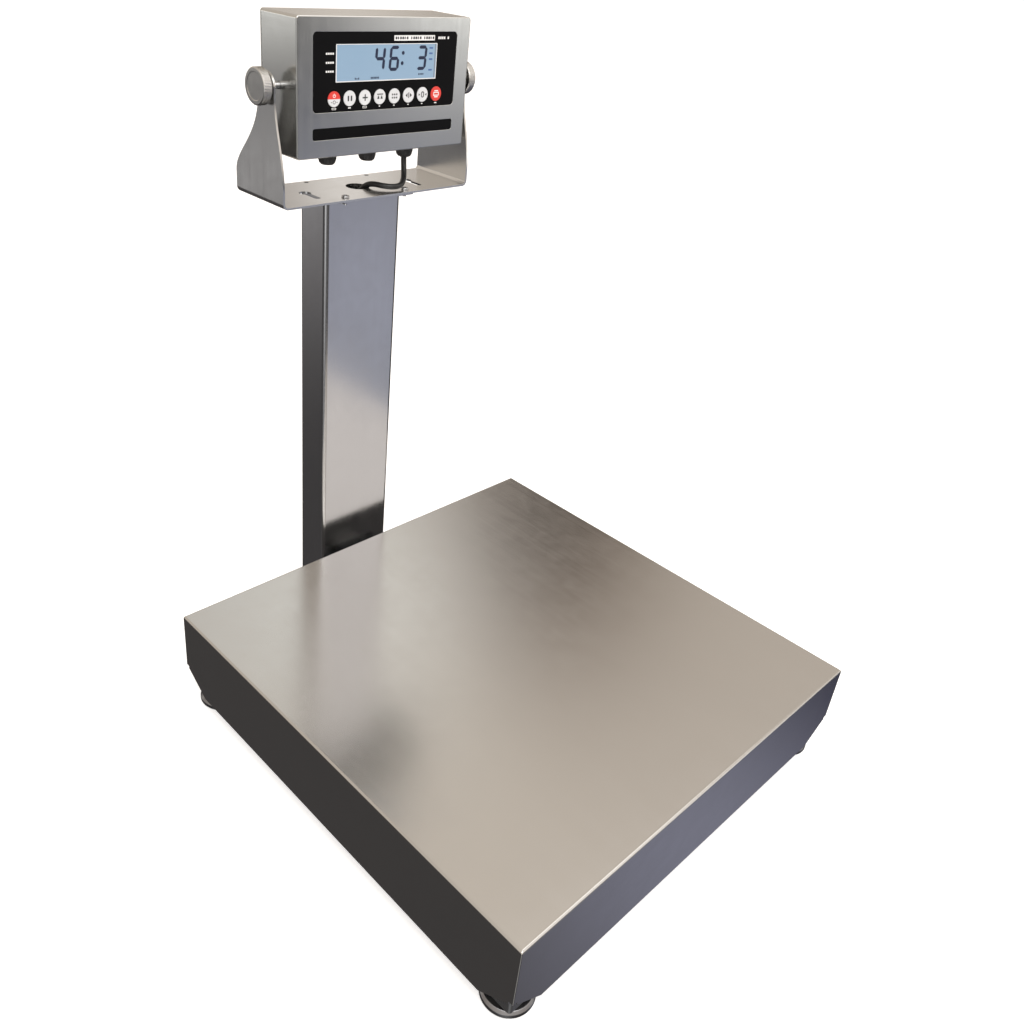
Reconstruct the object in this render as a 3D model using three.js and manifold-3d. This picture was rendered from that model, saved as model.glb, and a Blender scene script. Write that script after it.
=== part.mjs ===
// Platform scale for weighing animals: low square platform on four levelling feet,
// column behind it, and a tilting indicator in a U-shaped yoke on the column's top.
// Units are millimetres, +Z is up, the user stands on the -Y side.
import * as THREE from 'three';
import { mergeVertices } from 'three/addons/utils/BufferGeometryUtils.js';
import Module from 'manifold-3d';

const wasm = await Module();
wasm.setup();

// ---------- driving dimensions ----------
const PLAT = 610;            // platform cover, square side
const PLAT_Z = 133;          // height of the weighing surface
const SKIRT = 110;           // depth of the cover's skirt
const SHEET = 2;             // cover sheet thickness
const CORNER_CUT = [45, 30]; // slanted cut on the skirt's lower corners, along and up
const GAP = 0.3;             // clearance kept between touching pieces
const LEG = 50;              // corner leg, square tube
const LEG_OUT = 297;         // outer face of the corner legs from the centre
const FOOT_R = 29.5;
const RAIL_Z = [36, 66];
const UPPER_Z = [92, 122];
const COL_W = 120, COL_D = 55, COL_Y = 340, COL_TOP = 636, COL_BOT = 19;
const YOKE_W = 288, YOKE_Y = [306, 404], YOKE_T = 2.5, YOKE_TOP = 642;
const PIVOT = [338, 770];    // y and z of the tilt axis
const CASE_W = 254, CASE_H = 150, CASE_D = 70;
const KEY_R = 8.5, KEY_PITCH = 21.95, KEY_Z = 758.8;
const CABLE_R = 3.5;
const SHIFT_Y = -(YOKE_Y[1] - PLAT / 2) / 2; // puts the origin under the middle of the whole scale

// ---------- helpers ----------
const root = new THREE.Group();
root.position.set(0, SHIFT_Y, 0);
const finish = {
  steel: [0xb9bab6, 0.34, 1], satin: [0xa9aaa5, 0.42, 1], frame: [0x8d9092, 0.5, 1],
  zinc: [0xb8bcc0, 0.3, 1], alu: [0xc4c7ca, 0.4, 1], rubber: [0x1c1c1c, 0.9, 0],
  black: [0x17181a, 0.55, 0], panel: [0x0f1012, 0.35, 0], lcd: [0xa6c0dc, 0.15, 0],
  key: [0xd4d5d6, 0.5, 0], red: [0xc8332e, 0.5, 0], board: [0x1f5a36, 0.6, 0],
};
function put(name, geo, look, group = root) {
  const [c, r, m] = finish[look];
  const mesh = new THREE.Mesh(geo, new THREE.MeshStandardMaterial({ color: c, roughness: r, metalness: m }));
  mesh.name = name;
  group.add(mesh);
  return mesh;
}
const V2 = (x, y) => new THREE.Vector2(x, y);
function box(x0, x1, y0, y1, z0, z1) {
  return new THREE.BoxGeometry(x1 - x0, y1 - y0, z1 - z0).translate((x0 + x1) / 2, (y0 + y1) / 2, (z0 + z1) / 2);
}
function rrect(x0, x1, y0, y1, r) {
  const s = new THREE.Shape();
  s.moveTo(x0 + r, y0); s.lineTo(x1 - r, y0); s.absarc(x1 - r, y0 + r, r, -Math.PI / 2, 0, false);
  s.lineTo(x1, y1 - r); s.absarc(x1 - r, y1 - r, r, 0, Math.PI / 2, false);
  s.lineTo(x0 + r, y1); s.absarc(x0 + r, y1 - r, r, Math.PI / 2, Math.PI, false);
  s.lineTo(x0, y0 + r); s.absarc(x0 + r, y0 + r, r, Math.PI, 1.5 * Math.PI, false);
  return s;
}
function poly(pts) { return new THREE.Shape(pts.map((p) => V2(...p))); }
function extZ(shape, z0, z1, seg = 4, bevel = null) {
  const o = { depth: z1 - z0, bevelEnabled: false, curveSegments: seg };
  return new THREE.ExtrudeGeometry(shape, bevel ? { ...o, ...bevel } : o).translate(0, 0, z0);
}
// shape drawn in (x, z), extruded from y0 to y1
function extY(shape, y0, y1, seg = 4) {
  return extZ(shape, 0, y1 - y0, seg).rotateX(Math.PI / 2).translate(0, y1, 0);
}
// shape drawn in (y, z), extruded from x0 to x1
function extX(shape, x0, x1, seg = 4) {
  const g = extZ(shape, 0, x1 - x0, seg);
  g.applyMatrix4(new THREE.Matrix4().set(0, 0, 1, x0, 1, 0, 0, 0, 0, 1, 0, 0, 0, 0, 0, 1));
  return g;
}
function lathe(profile, seg = 24) { return new THREE.LatheGeometry(profile.map((p) => V2(...p)), seg).rotateX(Math.PI / 2); }
function cylZ(x, y, r, z0, z1, seg = 24) {
  return new THREE.CylinderGeometry(r, r, z1 - z0, seg).rotateX(Math.PI / 2).translate(x, y, (z0 + z1) / 2);
}
function cylY(x, z, r, y0, y1, seg = 24) { return new THREE.CylinderGeometry(r, r, y1 - y0, seg).translate(x, (y0 + y1) / 2, z); }
function cylX(y, z, r, x0, x1, seg = 24) {
  return new THREE.CylinderGeometry(r, r, x1 - x0, seg).rotateZ(Math.PI / 2).translate((x0 + x1) / 2, y, z);
}
function solid(geo) {
  const g = geo.index ? geo.clone() : geo.clone();
  g.deleteAttribute('normal'); g.deleteAttribute('uv');
  const m = mergeVertices(g, 1e-4);
  const idx = m.index.array, tri = [];
  for (let i = 0; i < idx.length; i += 3) {
    const [a, b, c] = [idx[i], idx[i + 1], idx[i + 2]];
    if (a !== b && b !== c && a !== c) tri.push(a, b, c);
  }
  return new wasm.Manifold(new wasm.Mesh({ numProp: 3, vertProperties: new Float32Array(m.attributes.position.array), triVerts: new Uint32Array(tri) }));
}
function geometry(man) {
  const m = man.getMesh();
  const g = new THREE.BufferGeometry();
  g.setAttribute('position', new THREE.BufferAttribute(new Float32Array(m.vertProperties), 3));
  g.setIndex(new THREE.BufferAttribute(new Uint32Array(m.triVerts), 1));
  g.computeVertexNormals();
  return g;
}
const S = (g) => (g.isBufferGeometry ? solid(g) : g);
function cut(a, ...bs) { let m = S(a); for (const b of bs) m = m.subtract(S(b)); return m; }
function join(a, ...bs) { let m = S(a); for (const b of bs) m = m.add(S(b)); return m; }
function tubeX(x0, x1, y0, y1, z0, z1, t) { return cut(box(x0, x1, y0, y1, z0, z1), box(x0 - 5, x1 + 5, y0 + t, y1 - t, z0 + t, z1 - t)); }
function tubeY(x0, x1, y0, y1, z0, z1, t) { return cut(box(x0, x1, y0, y1, z0, z1), box(x0 + t, x1 - t, y0 - 5, y1 + 5, z0 + t, z1 - t)); }
function along(points, r, sides, steps) {
  const path = new THREE.CatmullRomCurve3(points.map((p) => new THREE.Vector3(...p)), false, 'centripetal');
  const s = new THREE.Shape();
  for (let i = 0; i < sides; i++) {
    const a = (i / sides) * 2 * Math.PI;
    i ? s.lineTo(r * Math.cos(a), r * Math.sin(a)) : s.moveTo(r, 0);
  }
  return new THREE.ExtrudeGeometry(s, { steps, extrudePath: path, curveSegments: 1 });
}
const H = PLAT / 2, Z0 = PLAT_Z - SKIRT;

// ---------- platform cover ----------
{
  const b = { bevelEnabled: true, bevelSize: 3, bevelThickness: 3, bevelSegments: 4 };
  const outer = extZ(rrect(-H + 3, H - 3, -H + 3, H - 3, 0.8), Z0 - 20, PLAT_Z - 3, 2, b);
  const bi = { bevelEnabled: true, bevelSize: 1, bevelThickness: 1, bevelSegments: 2 };
  const h = H - SHEET;
  const inner = extZ(rrect(-h + 1, h - 1, -h + 1, h - 1, 0.5), Z0 - 40, PLAT_Z - SHEET - 1, 1, bi);
  let m = cut(outer, inner, box(-400, 400, -400, 400, Z0 - 60, Z0));
  const [cl, ch] = CORNER_CUT;
  const tri = (s) => poly(s > 0
    ? [[H + 5, Z0 - 5], [H + 5, Z0 + ch + (5 * ch) / cl], [H - cl - (5 * cl) / ch, Z0 - 5]]
    : [[-H - 5, Z0 - 5], [-H + cl + (5 * cl) / ch, Z0 - 5], [-H - 5, Z0 + ch + (5 * ch) / cl]]);
  const band = 6; // only the skirt's own sheet is trimmed
  for (const s of [1, -1]) {
    m = cut(m, extY(tri(s), -H - 2, -H + band), extY(tri(s), H - band, H + 2));
    m = cut(m, extX(tri(s), -H - 2, -H + band), extX(tri(s), H - band, H + 2));
  }
  // opening in the rear skirt for the column bracket and the cable
  m = cut(m, extY(rrect(-65, 65, Z0 - 20, 82, 8), H - 10, H + 10, 3));
  put('platform_cover', geometry(m), 'steel');
}

// ---------- base frame ----------
const corners = { fl: [-1, -1], fr: [1, -1], rl: [-1, 1], rr: [1, 1] };
const FC = LEG_OUT - LEG / 2; // foot and leg centre
for (const [k, [sx, sy]] of Object.entries(corners)) {
  const cx = sx * FC, cy = sy * FC, h = LEG / 2;
  const leg = cut(box(cx - h, cx + h, cy - h, cy + h, 19, RAIL_Z[1]), box(cx - h + 3, cx + h - 3, cy - h + 3, cy + h - 3, 24, 90), cylZ(cx, cy, 5.4, 10, 40, 16));
  put('corner_leg_' + k, geometry(leg), 'frame');
  // foot: round base with a bevelled rim, hexagon and threaded stud, one turned part
  const foot = lathe([[0, 0], [FOOT_R - 2.5, 0], [FOOT_R, 2.5], [FOOT_R, 8.5], [FOOT_R - 3, 11.5], [11, 12.5], [11, 18.4], [5, 18.4], [5, 57.5], [0, 57.5]], 24);
  put('levelling_foot_' + k, foot.translate(cx, cy, 0), 'zinc');
}
const LI = LEG_OUT - LEG - GAP; // inner faces of the legs
for (const [n, s] of [['left', -1], ['right', 1]]) {
  const a = Math.min(s * 252, s * 292), b = Math.max(s * 252, s * 292);
  put('base_rail_' + n, geometry(tubeY(a, b, -LI, LI, ...RAIL_Z, 3)), 'frame');
}
put('base_cross_front', geometry(tubeX(-LI, LI, -292, -252, ...RAIL_Z, 3)), 'frame');
put('base_cross_rear', geometry(tubeX(-LI, LI, 252, 292, ...RAIL_Z, 3)), 'frame');
put('load_cell_beam', geometry(cut(box(-252 + GAP, 252 - GAP, 22, 82, 36, 45.7), cylZ(0, 40, 4.4, 30, 50, 16), cylZ(0, 64, 4.4, 30, 50, 16))), 'frame');

// ---------- load cell: a block with two joined bores across it, on its fixed end ----------
{
  let m = cut(box(-20, 20, -75, 75, 46, 86), cylX(-16, 66, 13, -30, 30, 24), cylX(16, 66, 13, -30, 30, 24), box(-30, 30, -16, 16, 61, 71));
  for (const y of [40, 64]) m = cut(m, cylZ(0, y, 4.4, 40, 62, 16));
  for (const y of [-40, -64]) m = cut(m, cylZ(0, y, 4.4, 70, 90, 16));
  put('load_cell', geometry(m), 'alu');
  const bolt = (y, up) => {
    // up: shank points up from a head below
    const g = join(new THREE.CylinderGeometry(7.5, 7.5, 5.3, 6).rotateX(Math.PI / 2).translate(0, 0, -2.65), cylZ(0, 0, 4, -1, up ? 24.5 : 20.5, 16));
    return up ? geometry(g.translate([0, y, 35.7])) : geometry(g.rotate([180, 0, 0]).translate([0, y, UPPER_Z[0] + 3 + GAP]));
  };
  put('load_cell_bolt_base_inner', bolt(40, true), 'zinc');
  put('load_cell_bolt_base_outer', bolt(64, true), 'zinc');
  put('load_cell_bolt_top_inner', bolt(-40, false), 'zinc');
  put('load_cell_bolt_top_outer', bolt(-64, false), 'zinc');
}

// ---------- upper frame that carries the cover ----------
{
  let m = tubeY(-20, 20, -259.7, 259.7, ...UPPER_Z, 3);
  m = join(m, box(-20, 20, -78, -28, 86.3, UPPER_Z[0] + 2));
  for (const y of [-40, -64]) m = cut(m, cylZ(0, y, 4.4, 80, 100, 16), cylZ(0, y, 8.5, 110, 130, 16));
  put('upper_beam', geometry(m), 'frame');
  put('upper_cross_front', geometry(tubeX(-285, 285, -290, -260, ...UPPER_Z, 3)), 'frame');
  put('upper_cross_rear', geometry(tubeX(-285, 285, 260, 290, ...UPPER_Z, 3)), 'frame');
  for (const [k, [sx, sy]] of Object.entries(corners)) {
    put('rest_pad_' + k, lathe([[0, 0], [13, 0], [13, 5], [11, PLAT_Z - SHEET - UPPER_Z[1] - 2 * GAP], [0, PLAT_Z - SHEET - UPPER_Z[1] - 2 * GAP]], 20).translate(sx * 262, sy * 275, UPPER_Z[1] + GAP), 'rubber');
  }
}

// ---------- column ----------
{
  const yc = COL_Y + COL_D / 2;
  const shell = cut(extZ(rrect(-COL_W / 2, COL_W / 2, COL_Y, COL_Y + COL_D, 6), COL_BOT, COL_TOP, 4),
    extZ(rrect(-COL_W / 2 + 2, COL_W / 2 - 2, COL_Y + 2, COL_Y + COL_D - 2, 4), COL_BOT - 5, COL_TOP + 5, 4),
    cylY(0, 72.5, 6, COL_Y - 5, COL_Y + 10, 16));
  put('column', geometry(shell), 'steel');
  put('column_bracket', geometry(tubeY(-55, 55, 292 + GAP, COL_Y - GAP, ...RAIL_Z, 4)), 'frame');
  const head = cut(extZ(rrect(-58, 58, 311, COL_Y + COL_D - 0.5, 5), COL_TOP + GAP, YOKE_TOP - YOKE_T - GAP, 3),
    cylZ(0, 355, 15, 600, 660, 28), cylZ(-47, 318, 2.7, 600, 660, 12), cylZ(47, 318, 2.7, 600, 660, 12));
  put('column_head_plate', geometry(head), 'steel');
}

// ---------- yoke bracket ----------
{
  const w = YOKE_W / 2, zb = YOKE_TOP - YOKE_T, ztop = PIVOT[1] + 30;
  const uo = new THREE.Shape();
  uo.moveTo(-w, ztop); uo.lineTo(-w, zb + 7); uo.absarc(-w + 7, zb + 7, 7, Math.PI, 1.5 * Math.PI, false);
  uo.lineTo(w - 7, zb); uo.absarc(w - 7, zb + 7, 7, 1.5 * Math.PI, 2 * Math.PI, false);
  uo.lineTo(w, ztop); uo.lineTo(w - YOKE_T, ztop); uo.lineTo(w - YOKE_T, zb + 7);
  uo.absarc(w - 7, zb + 7, 7 - YOKE_T, 0, -Math.PI / 2, true);
  uo.lineTo(-w + 7, YOKE_TOP); uo.absarc(-w + 7, zb + 7, 7 - YOKE_T, 1.5 * Math.PI, Math.PI, true);
  uo.lineTo(-w + YOKE_T, ztop); uo.closePath();
  const u = S(extY(uo, YOKE_Y[0], YOKE_Y[1], 5));
  const [py, pz] = PIVOT, [ya, yb] = YOKE_Y;
  const side = new THREE.Shape();
  side.moveTo(ya, zb - 5); side.lineTo(yb, zb - 5); side.lineTo(yb, 666);
  side.bezierCurveTo(yb, 690, 356, 712, py + 16, 757);
  side.lineTo(py + 16, pz); side.absarc(py, pz, 16, 0, Math.PI, false);
  side.lineTo(py - 16, 757);
  side.bezierCurveTo(py - 17, 725, 307, 700, ya, 660);
  side.closePath();
  let m = u.intersect(S(extX(side, -w - 5, w + 5, 8)));
  m = cut(m, cylX(py, pz, 4.6, -w - 5, -w + 10, 16), cylX(py, pz, 4.6, w - 10, w + 5, 16));
  m = cut(m, cylZ(0, 355, 15, 600, 660, 28));
  for (const s of [-1, 1]) {
    m = cut(m, cylZ(s * 80, 355, 7.5, 600, 660, 20), extZ(rrect(s * 80 - 4.2, s * 80 + 4.2, 326, 355, 4), 600, 660, 4));
    m = cut(m, cylZ(s * 48, 398, 3, 600, 650, 12), cylZ(s * 47, 318, 2.7, 600, 660, 12));
  }
  put('yoke_bracket', geometry(m), 'satin');
  for (const [n, s] of [['left', -1], ['right', 1]]) {
    const g = lathe([[0, -9], [2.4, -9], [2.4, GAP], [4.8, GAP], [4.8, 1.3], [3.6, 2.4], [0, 2.6]], 16);
    put('yoke_screw_' + n, g.translate(s * 47, 318, YOKE_TOP), 'zinc');
  }
}

// ---------- indicator ----------
const yf = PIVOT[0] - CASE_D / 2, yr = PIVOT[0] + CASE_D / 2;
const cz = PIVOT[1], hw = CASE_W / 2, hh = CASE_H / 2;
const P = { x: 105.5, z0: cz - 25, z1: cz + 58.5 };           // keypad panel
const L = { x: 75, z0: cz + 6, z1: cz + 46.5 };               // display window
const B = { x: 105.5, z0: cz - 54.8, z1: cz - 42.4 };         // dark strip
{
  const outer = extY(rrect(-hw, hw, cz - hh, cz + hh, 3.5), yf, yr - 2.5, 4);
  const inner = extY(rrect(-hw + 2, hw - 2, cz - hh + 2, cz + hh - 2, 1.6), yf + 2, yr + 20, 3);
  let m = cut(outer, inner);
  for (const sx of [-1, 1]) for (const sz of [-1, 1]) m = join(m, cylY(sx * 112, cz + sz * 64, 4.5, yf + 1, yr - 2.5, 12));
  for (const sx of [-1, 1]) for (const sz of [-1, 1]) m = cut(m, cylY(sx * 112, cz + sz * 64, 2.4, yr - 20, yr + 5, 12));
  m = cut(m, extY(rrect(-P.x - GAP, P.x + GAP, P.z0 - GAP, P.z1 + GAP, 5), yf - 5, yf + 5, 4));
  m = cut(m, extY(rrect(-B.x - GAP, B.x + GAP, B.z0 - GAP, B.z1 + GAP, 2.5), yf - 5, yf + 5, 3));
  m = cut(m, cylX(PIVOT[0], cz, 4.4, -hw - 5, -hw + 8, 16), cylX(PIVOT[0], cz, 4.4, hw - 8, hw + 5, 16));
  for (const x of [-60, 0, 60]) m = cut(m, cylZ(x, PIVOT[0], 8.3, cz - hh - 5, cz - hh + 5, 20));
  put('casing_front', geometry(m), 'steel');

  let rear = join(extY(rrect(-hw, hw, cz - hh, cz + hh, 3.5), yr - 2.2, yr, 4),
    cut(extY(rrect(-hw + 2.6, hw - 2.6, cz - hh + 2.6, cz + hh - 2.6, 1.4), yr - 9, yr - 2, 3), extY(rrect(-hw + 4.6, hw - 4.6, cz - hh + 4.6, cz + hh - 4.6, 1), yr - 12, yr + 5, 3)));
  for (const sx of [-1, 1]) for (const sz of [-1, 1]) rear = cut(rear, cylY(sx * 112, cz + sz * 64, 2.4, yr - 20, yr + 5, 12), cut(cylY(sx * 112, cz + sz * 64, 5, yr - 20, yr - 2.2, 12)));
  put('casing_rear_cover', geometry(rear), 'steel');
  for (const [n, sx, sz] of [['ul', -1, 1], ['ur', 1, 1], ['ll', -1, -1], ['lr', 1, -1]]) {
    const g = new THREE.LatheGeometry([[0, -14], [2, -14], [2, GAP], [4, GAP], [4, 1.2], [2.8, 2.4], [0, 2.6]].map((p) => V2(...p)), 14);
    put('rear_screw_' + n, g.translate(sx * 112, yr, cz + sz * 64), 'zinc');
  }

  // keypad panel, with the display window and eight key holes
  const keyX = [...Array(8).keys()].map((i) => (i - 3.5) * KEY_PITCH);
  let pan = cut(extY(rrect(-P.x, P.x, P.z0, P.z1, 4.7), yf + 0.4, yf + 2, 4), extY(rrect(-L.x, L.x, L.z0, L.z1, 0.8), yf - 5, yf + 5, 2));
  for (const x of keyX) pan = cut(pan, cylY(x, KEY_Z, KEY_R + GAP, yf - 5, yf + 5, 20));
  put('keypad_panel', geometry(pan), 'panel');
  put('display_window', extY(rrect(-L.x + GAP, L.x - GAP, L.z0 + GAP, L.z1 - GAP, 0.6), yf + 0.6, yf + 2.4, 2), 'lcd');
  put('lower_strip', extY(rrect(-B.x, B.x, B.z0, B.z1, 2.2), yf + 0.4, yf + 2, 3), 'panel');
  // display module on its board, which the keys press on
  put('display_module', geometry(join(box(-L.x - 4, L.x + 4, yf + 2.7, yf + 9.5, L.z0 - 3, L.z1 + 3), box(-100, 100, yf + 9.4, yf + 11, cz - 24, cz + 57))), 'board');
  put('main_board', box(-95, 95, yf + 40, yf + 41.6, cz - 50, cz + 50), 'board');
  const names = ['power', 'hold', 'accum', 'units', 'count', 'tare', 'zero', 'print'];
  names.forEach((n, i) => {
    const g = new THREE.LatheGeometry([[0, -8.4], [KEY_R, -8.4], [KEY_R, -0.1], [KEY_R - 0.5, 0.3], [0, 0.3]].map((p) => V2(...p)), 20).rotateX(Math.PI);
    put('key_' + (i + 1), g.translate(keyX[i], yf, KEY_Z), i === 0 || i === 7 ? 'red' : 'key');
  });

  // cable glands under the casing, the right-hand one carries the cable
  for (const [n, x] of [['left', -60], ['middle', 0], ['right', 60]]) {
    const open = n === 'right';
    const r0 = open ? CABLE_R + 0.3 : 0;
    const pr = [[r0, 8], [8, 8], [8, -GAP], [12.2, -GAP], [12.2, -5.5], [11.2, -6.2], [11, -10], [9.6, -14.2], [7.4, -16.4], [r0, -16.4]];
    if (open) pr.push([r0, 8]);
    put('cable_gland_' + n, lathe(pr.reverse(), 18).translate(x, PIVOT[0], cz - hh), 'black');
  }
  // pivot studs and clamping knobs
  for (const [n, s] of [['left', -1], ['right', 1]]) {
    const st = new THREE.LatheGeometry([[0, hw - 7], [8, hw - 7], [8, hw - 2 - GAP], [4, hw - 2 - GAP], [4, 155.5], [0, 155.5]].map((p) => V2(...p)), 16);
    put('pivot_stud_' + n, st.rotateZ(-s * Math.PI / 2).translate(0, PIVOT[0], cz), 'zinc');
    const kn = new THREE.LatheGeometry([[4.3, 145], [9, 145], [9, 147.2], [19, 147.2], [20, 148.2], [20, 157.2], [19, 158.2], [0, 158.2], [0, 156], [4.3, 156], [4.3, 145]].map((p) => V2(...p)), 26);
    put('clamp_knob_' + n, kn.rotateZ(-s * Math.PI / 2).translate(0, PIVOT[0], cz), 'alu');
  }
}

// ---------- signal cable ----------
{
  const loop = [[60, 338, 687], [60, 338, 676], [59, 336, 666], [55.5, 331, 657], [49.5, 325, 651.2], [42, 320, 648.1], [33, 317.8, 647.1],
    [24.5, 320, 647.1], [17.5, 326.5, 647.5], [12.5, 335, 647.9], [8.5, 343.5, 646.2], [5.5, 350.5, 641.2], [3.2, 355.5, 634], [1.6, 359, 624.5],
    [0.6, 361.5, 613], [0.2, 363, 601], [0, 364, 590]];
  put('cable_loop', along(loop, CABLE_R, 10, 24), 'rubber');
  const run = [[0, 364, 589.7], [0, 366, 560], [0, 368, 500], [0, 368, 400], [0, 368, 300], [0, 368, 200], [0, 368, 120],
    [0, 365, 98], [0, 357, 82], [0, 344, 74], [0, 328, 71.6], [0, 300, 71.4], [0, 270, 71.4], [0, 235, 70.5], [0, 190, 67], [0, 140, 66], [0, 100, 66], [0, 75.3, 66]];
  put('cable_run', along(run, CABLE_R, 8, 42), 'rubber');
}

export default root;
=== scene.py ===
import math
import bpy
import bmesh
from mathutils import Vector, Matrix


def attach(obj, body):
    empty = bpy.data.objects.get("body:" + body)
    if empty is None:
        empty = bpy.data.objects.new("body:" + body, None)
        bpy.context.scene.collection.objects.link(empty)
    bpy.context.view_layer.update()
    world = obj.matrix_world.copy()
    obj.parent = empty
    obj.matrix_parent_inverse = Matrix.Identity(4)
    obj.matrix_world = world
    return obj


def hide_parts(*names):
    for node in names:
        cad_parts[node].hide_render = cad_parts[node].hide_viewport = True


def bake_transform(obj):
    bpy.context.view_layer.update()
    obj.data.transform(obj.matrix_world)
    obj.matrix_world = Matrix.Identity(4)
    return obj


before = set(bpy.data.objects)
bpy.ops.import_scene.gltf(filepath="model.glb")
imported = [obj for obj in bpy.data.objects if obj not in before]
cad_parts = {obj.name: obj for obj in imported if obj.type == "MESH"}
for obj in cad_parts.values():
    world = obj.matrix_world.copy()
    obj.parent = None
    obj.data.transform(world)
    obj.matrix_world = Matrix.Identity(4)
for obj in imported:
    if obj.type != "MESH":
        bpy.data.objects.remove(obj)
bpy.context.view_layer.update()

scene = bpy.context.scene
coll = scene.collection
SY = -49.5                      # the platform's own frame to the row frame, mm
scene.view_settings.view_transform = "Standard"


def m_(x, y, z):
    """millimetres in the platform's frame to metres in the row frame"""
    return (x * 0.001, (y + SY) * 0.001, z * 0.001)


# ------------------------------------------------------------------ camera
def make_camera():
    a, e, r = math.radians(-46.36), math.radians(29.0), math.radians(5.55)
    back = Vector((math.sin(a) * math.cos(e), -math.cos(a) * math.cos(e), math.sin(e)))
    right0 = Vector((math.cos(a), math.sin(a), 0))
    up0 = back.cross(right0)
    right = math.cos(r) * right0 + math.sin(r) * up0
    up = -math.sin(r) * right0 + math.cos(r) * up0
    data = bpy.data.cameras.new("camera")
    data.sensor_width = 36.0
    data.lens = 955.1 / 1024 * 36
    data.shift_x = (512 - 472.8) / 1024
    data.shift_y = (458.1 - 512) / 1024
    data.clip_start, data.clip_end = 0.02, 100
    data.dof.use_dof = False
    cam = bpy.data.objects.new("camera", data)
    coll.objects.link(cam)
    cam.matrix_world = Matrix((
        (right.x, up.x, back.x, -0.7589),
        (right.y, up.y, back.y, -0.6655),
        (right.z, up.z, back.z, 0.9416),
        (0, 0, 0, 1)))
    scene.camera = cam


make_camera()


# ------------------------------------------------------------------ mesh helpers, all in millimetres
def arc(cx, cy, r, a0, a1, n):
    return [(cx + r * math.cos(math.radians(a0 + (a1 - a0) * k / n)), cy + r * math.sin(math.radians(a0 + (a1 - a0) * k / n))) for k in range(n + 1)]


def rrect(x0, x1, y0, y1, r, n=8):
    return (arc(x1 - r, y0 + r, r, -90, 0, n) + arc(x1 - r, y1 - r, r, 0, 90, n)
            + arc(x0 + r, y1 - r, r, 90, 180, n) + arc(x0 + r, y0 + r, r, 180, 270, n))


def bezier(p0, p1, p2, p3, n=20):
    out = []
    for k in range(n + 1):
        t = k / n
        out.append(tuple((1 - t) ** 3 * a + 3 * (1 - t) ** 2 * t * b + 3 * (1 - t) * t * t * c + t ** 3 * d for a, b, c, d in zip(p0, p1, p2, p3)))
    return out


def fillet(pts, r, n=4, closed=False):
    """rounds each corner of a 2-D outline; r is one radius or one per point"""
    out, count = [], len(pts)
    for i in range(count):
        ri = r[i] if isinstance(r, (list, tuple)) else r
        b = Vector(pts[i])
        if (not closed and i in (0, count - 1)) or ri <= 0:
            out.append(tuple(b))
            continue
        u, v = Vector(pts[i - 1]) - b, Vector(pts[(i + 1) % count]) - b
        lu, lv = u.length, v.length
        if lu < 1e-6 or lv < 1e-6:
            continue
        u, v = u / lu, v / lv
        ang = u.angle(v)
        if ang > math.pi - 0.06 or ang < 0.02:
            out.append(tuple(b))
            continue
        t = min(ri / math.tan(ang / 2), lu * 0.48, lv * 0.48)
        rr = t * math.tan(ang / 2)
        c = b + (u + v).normalized() * (rr / math.sin(ang / 2))
        p, q = b + u * t - c, b + v * t - c
        a0, a1 = math.atan2(p.y, p.x), math.atan2(q.y, q.x)
        while a1 - a0 > math.pi:
            a1 -= 2 * math.pi
        while a1 - a0 < -math.pi:
            a1 += 2 * math.pi
        for k in range(n + 1):
            w = a0 + (a1 - a0) * k / n
            out.append((c.x + rr * math.cos(w), c.y + rr * math.sin(w)))
    return out


def solid(verts, faces):
    me = bpy.data.meshes.new("work")
    me.from_pydata([tuple(v) for v in verts], [], faces)
    bm = bmesh.new()
    bm.from_mesh(me)
    bmesh.ops.remove_doubles(bm, verts=bm.verts, dist=1e-5)
    bmesh.ops.recalc_face_normals(bm, faces=bm.faces)
    bm.to_mesh(me)
    bm.free()
    return me


def at(u, v, w, ax):
    return (u, v, w) if ax == "z" else (u, w, v) if ax == "y" else (w, u, v)


def stack(layers):
    """closed body through loops of equal length, capped at both ends"""
    n = len(layers[0])
    verts = [p for l in layers for p in l]
    faces = [tuple(range(n)), tuple(range((len(layers) - 1) * n, len(layers) * n))]
    for j in range(len(layers) - 1):
        for i in range(n):
            k = (i + 1) % n
            faces.append((j * n + i, j * n + k, (j + 1) * n + k, (j + 1) * n + i))
    return solid(verts, faces)


def prism(loop, a, b, ax="z"):
    return stack([[at(u, v, w, ax) for u, v in loop] for w in (a, b)])


def cyl(u, v, r, a, b, ax="z", n=40):
    return prism([(u + r * math.cos(2 * math.pi * k / n), v + r * math.sin(2 * math.pi * k / n)) for k in range(n)], a, b, ax)


def lathe(prof, n=64, ax="z", c=(0, 0, 0), s=1, mod=None, ring=False):
    """turned body; prof holds (radius, height) points, starting and ending on the axis unless ring"""
    verts, rows, faces = [], [], []
    for r, h in prof:
        if r < 1e-6:
            rows.append([len(verts)])
            verts.append(at(0, 0, s * h, ax))
        else:
            rows.append(list(range(len(verts), len(verts) + n)))
            for k in range(n):
                t = 2 * math.pi * k / n
                q = mod(r, h, t) if mod else r
                verts.append(at(q * math.cos(t), q * math.sin(t), s * h, ax))
    pairs = list(zip(rows, rows[1:])) + ([(rows[-1], rows[0])] if ring else [])
    for a, b in pairs:
        if len(a) == 1 and len(b) == 1:
            continue
        for k in range(n):
            l = (k + 1) % n
            if len(a) == 1:
                faces.append((a[0], b[k], b[l]))
            elif len(b) == 1:
                faces.append((a[k], a[l], b[0]))
            else:
                faces.append((a[k], a[l], b[l], b[k]))
    return solid([(x + c[0], y + c[1], z + c[2]) for x, y, z in verts], faces)


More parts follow.
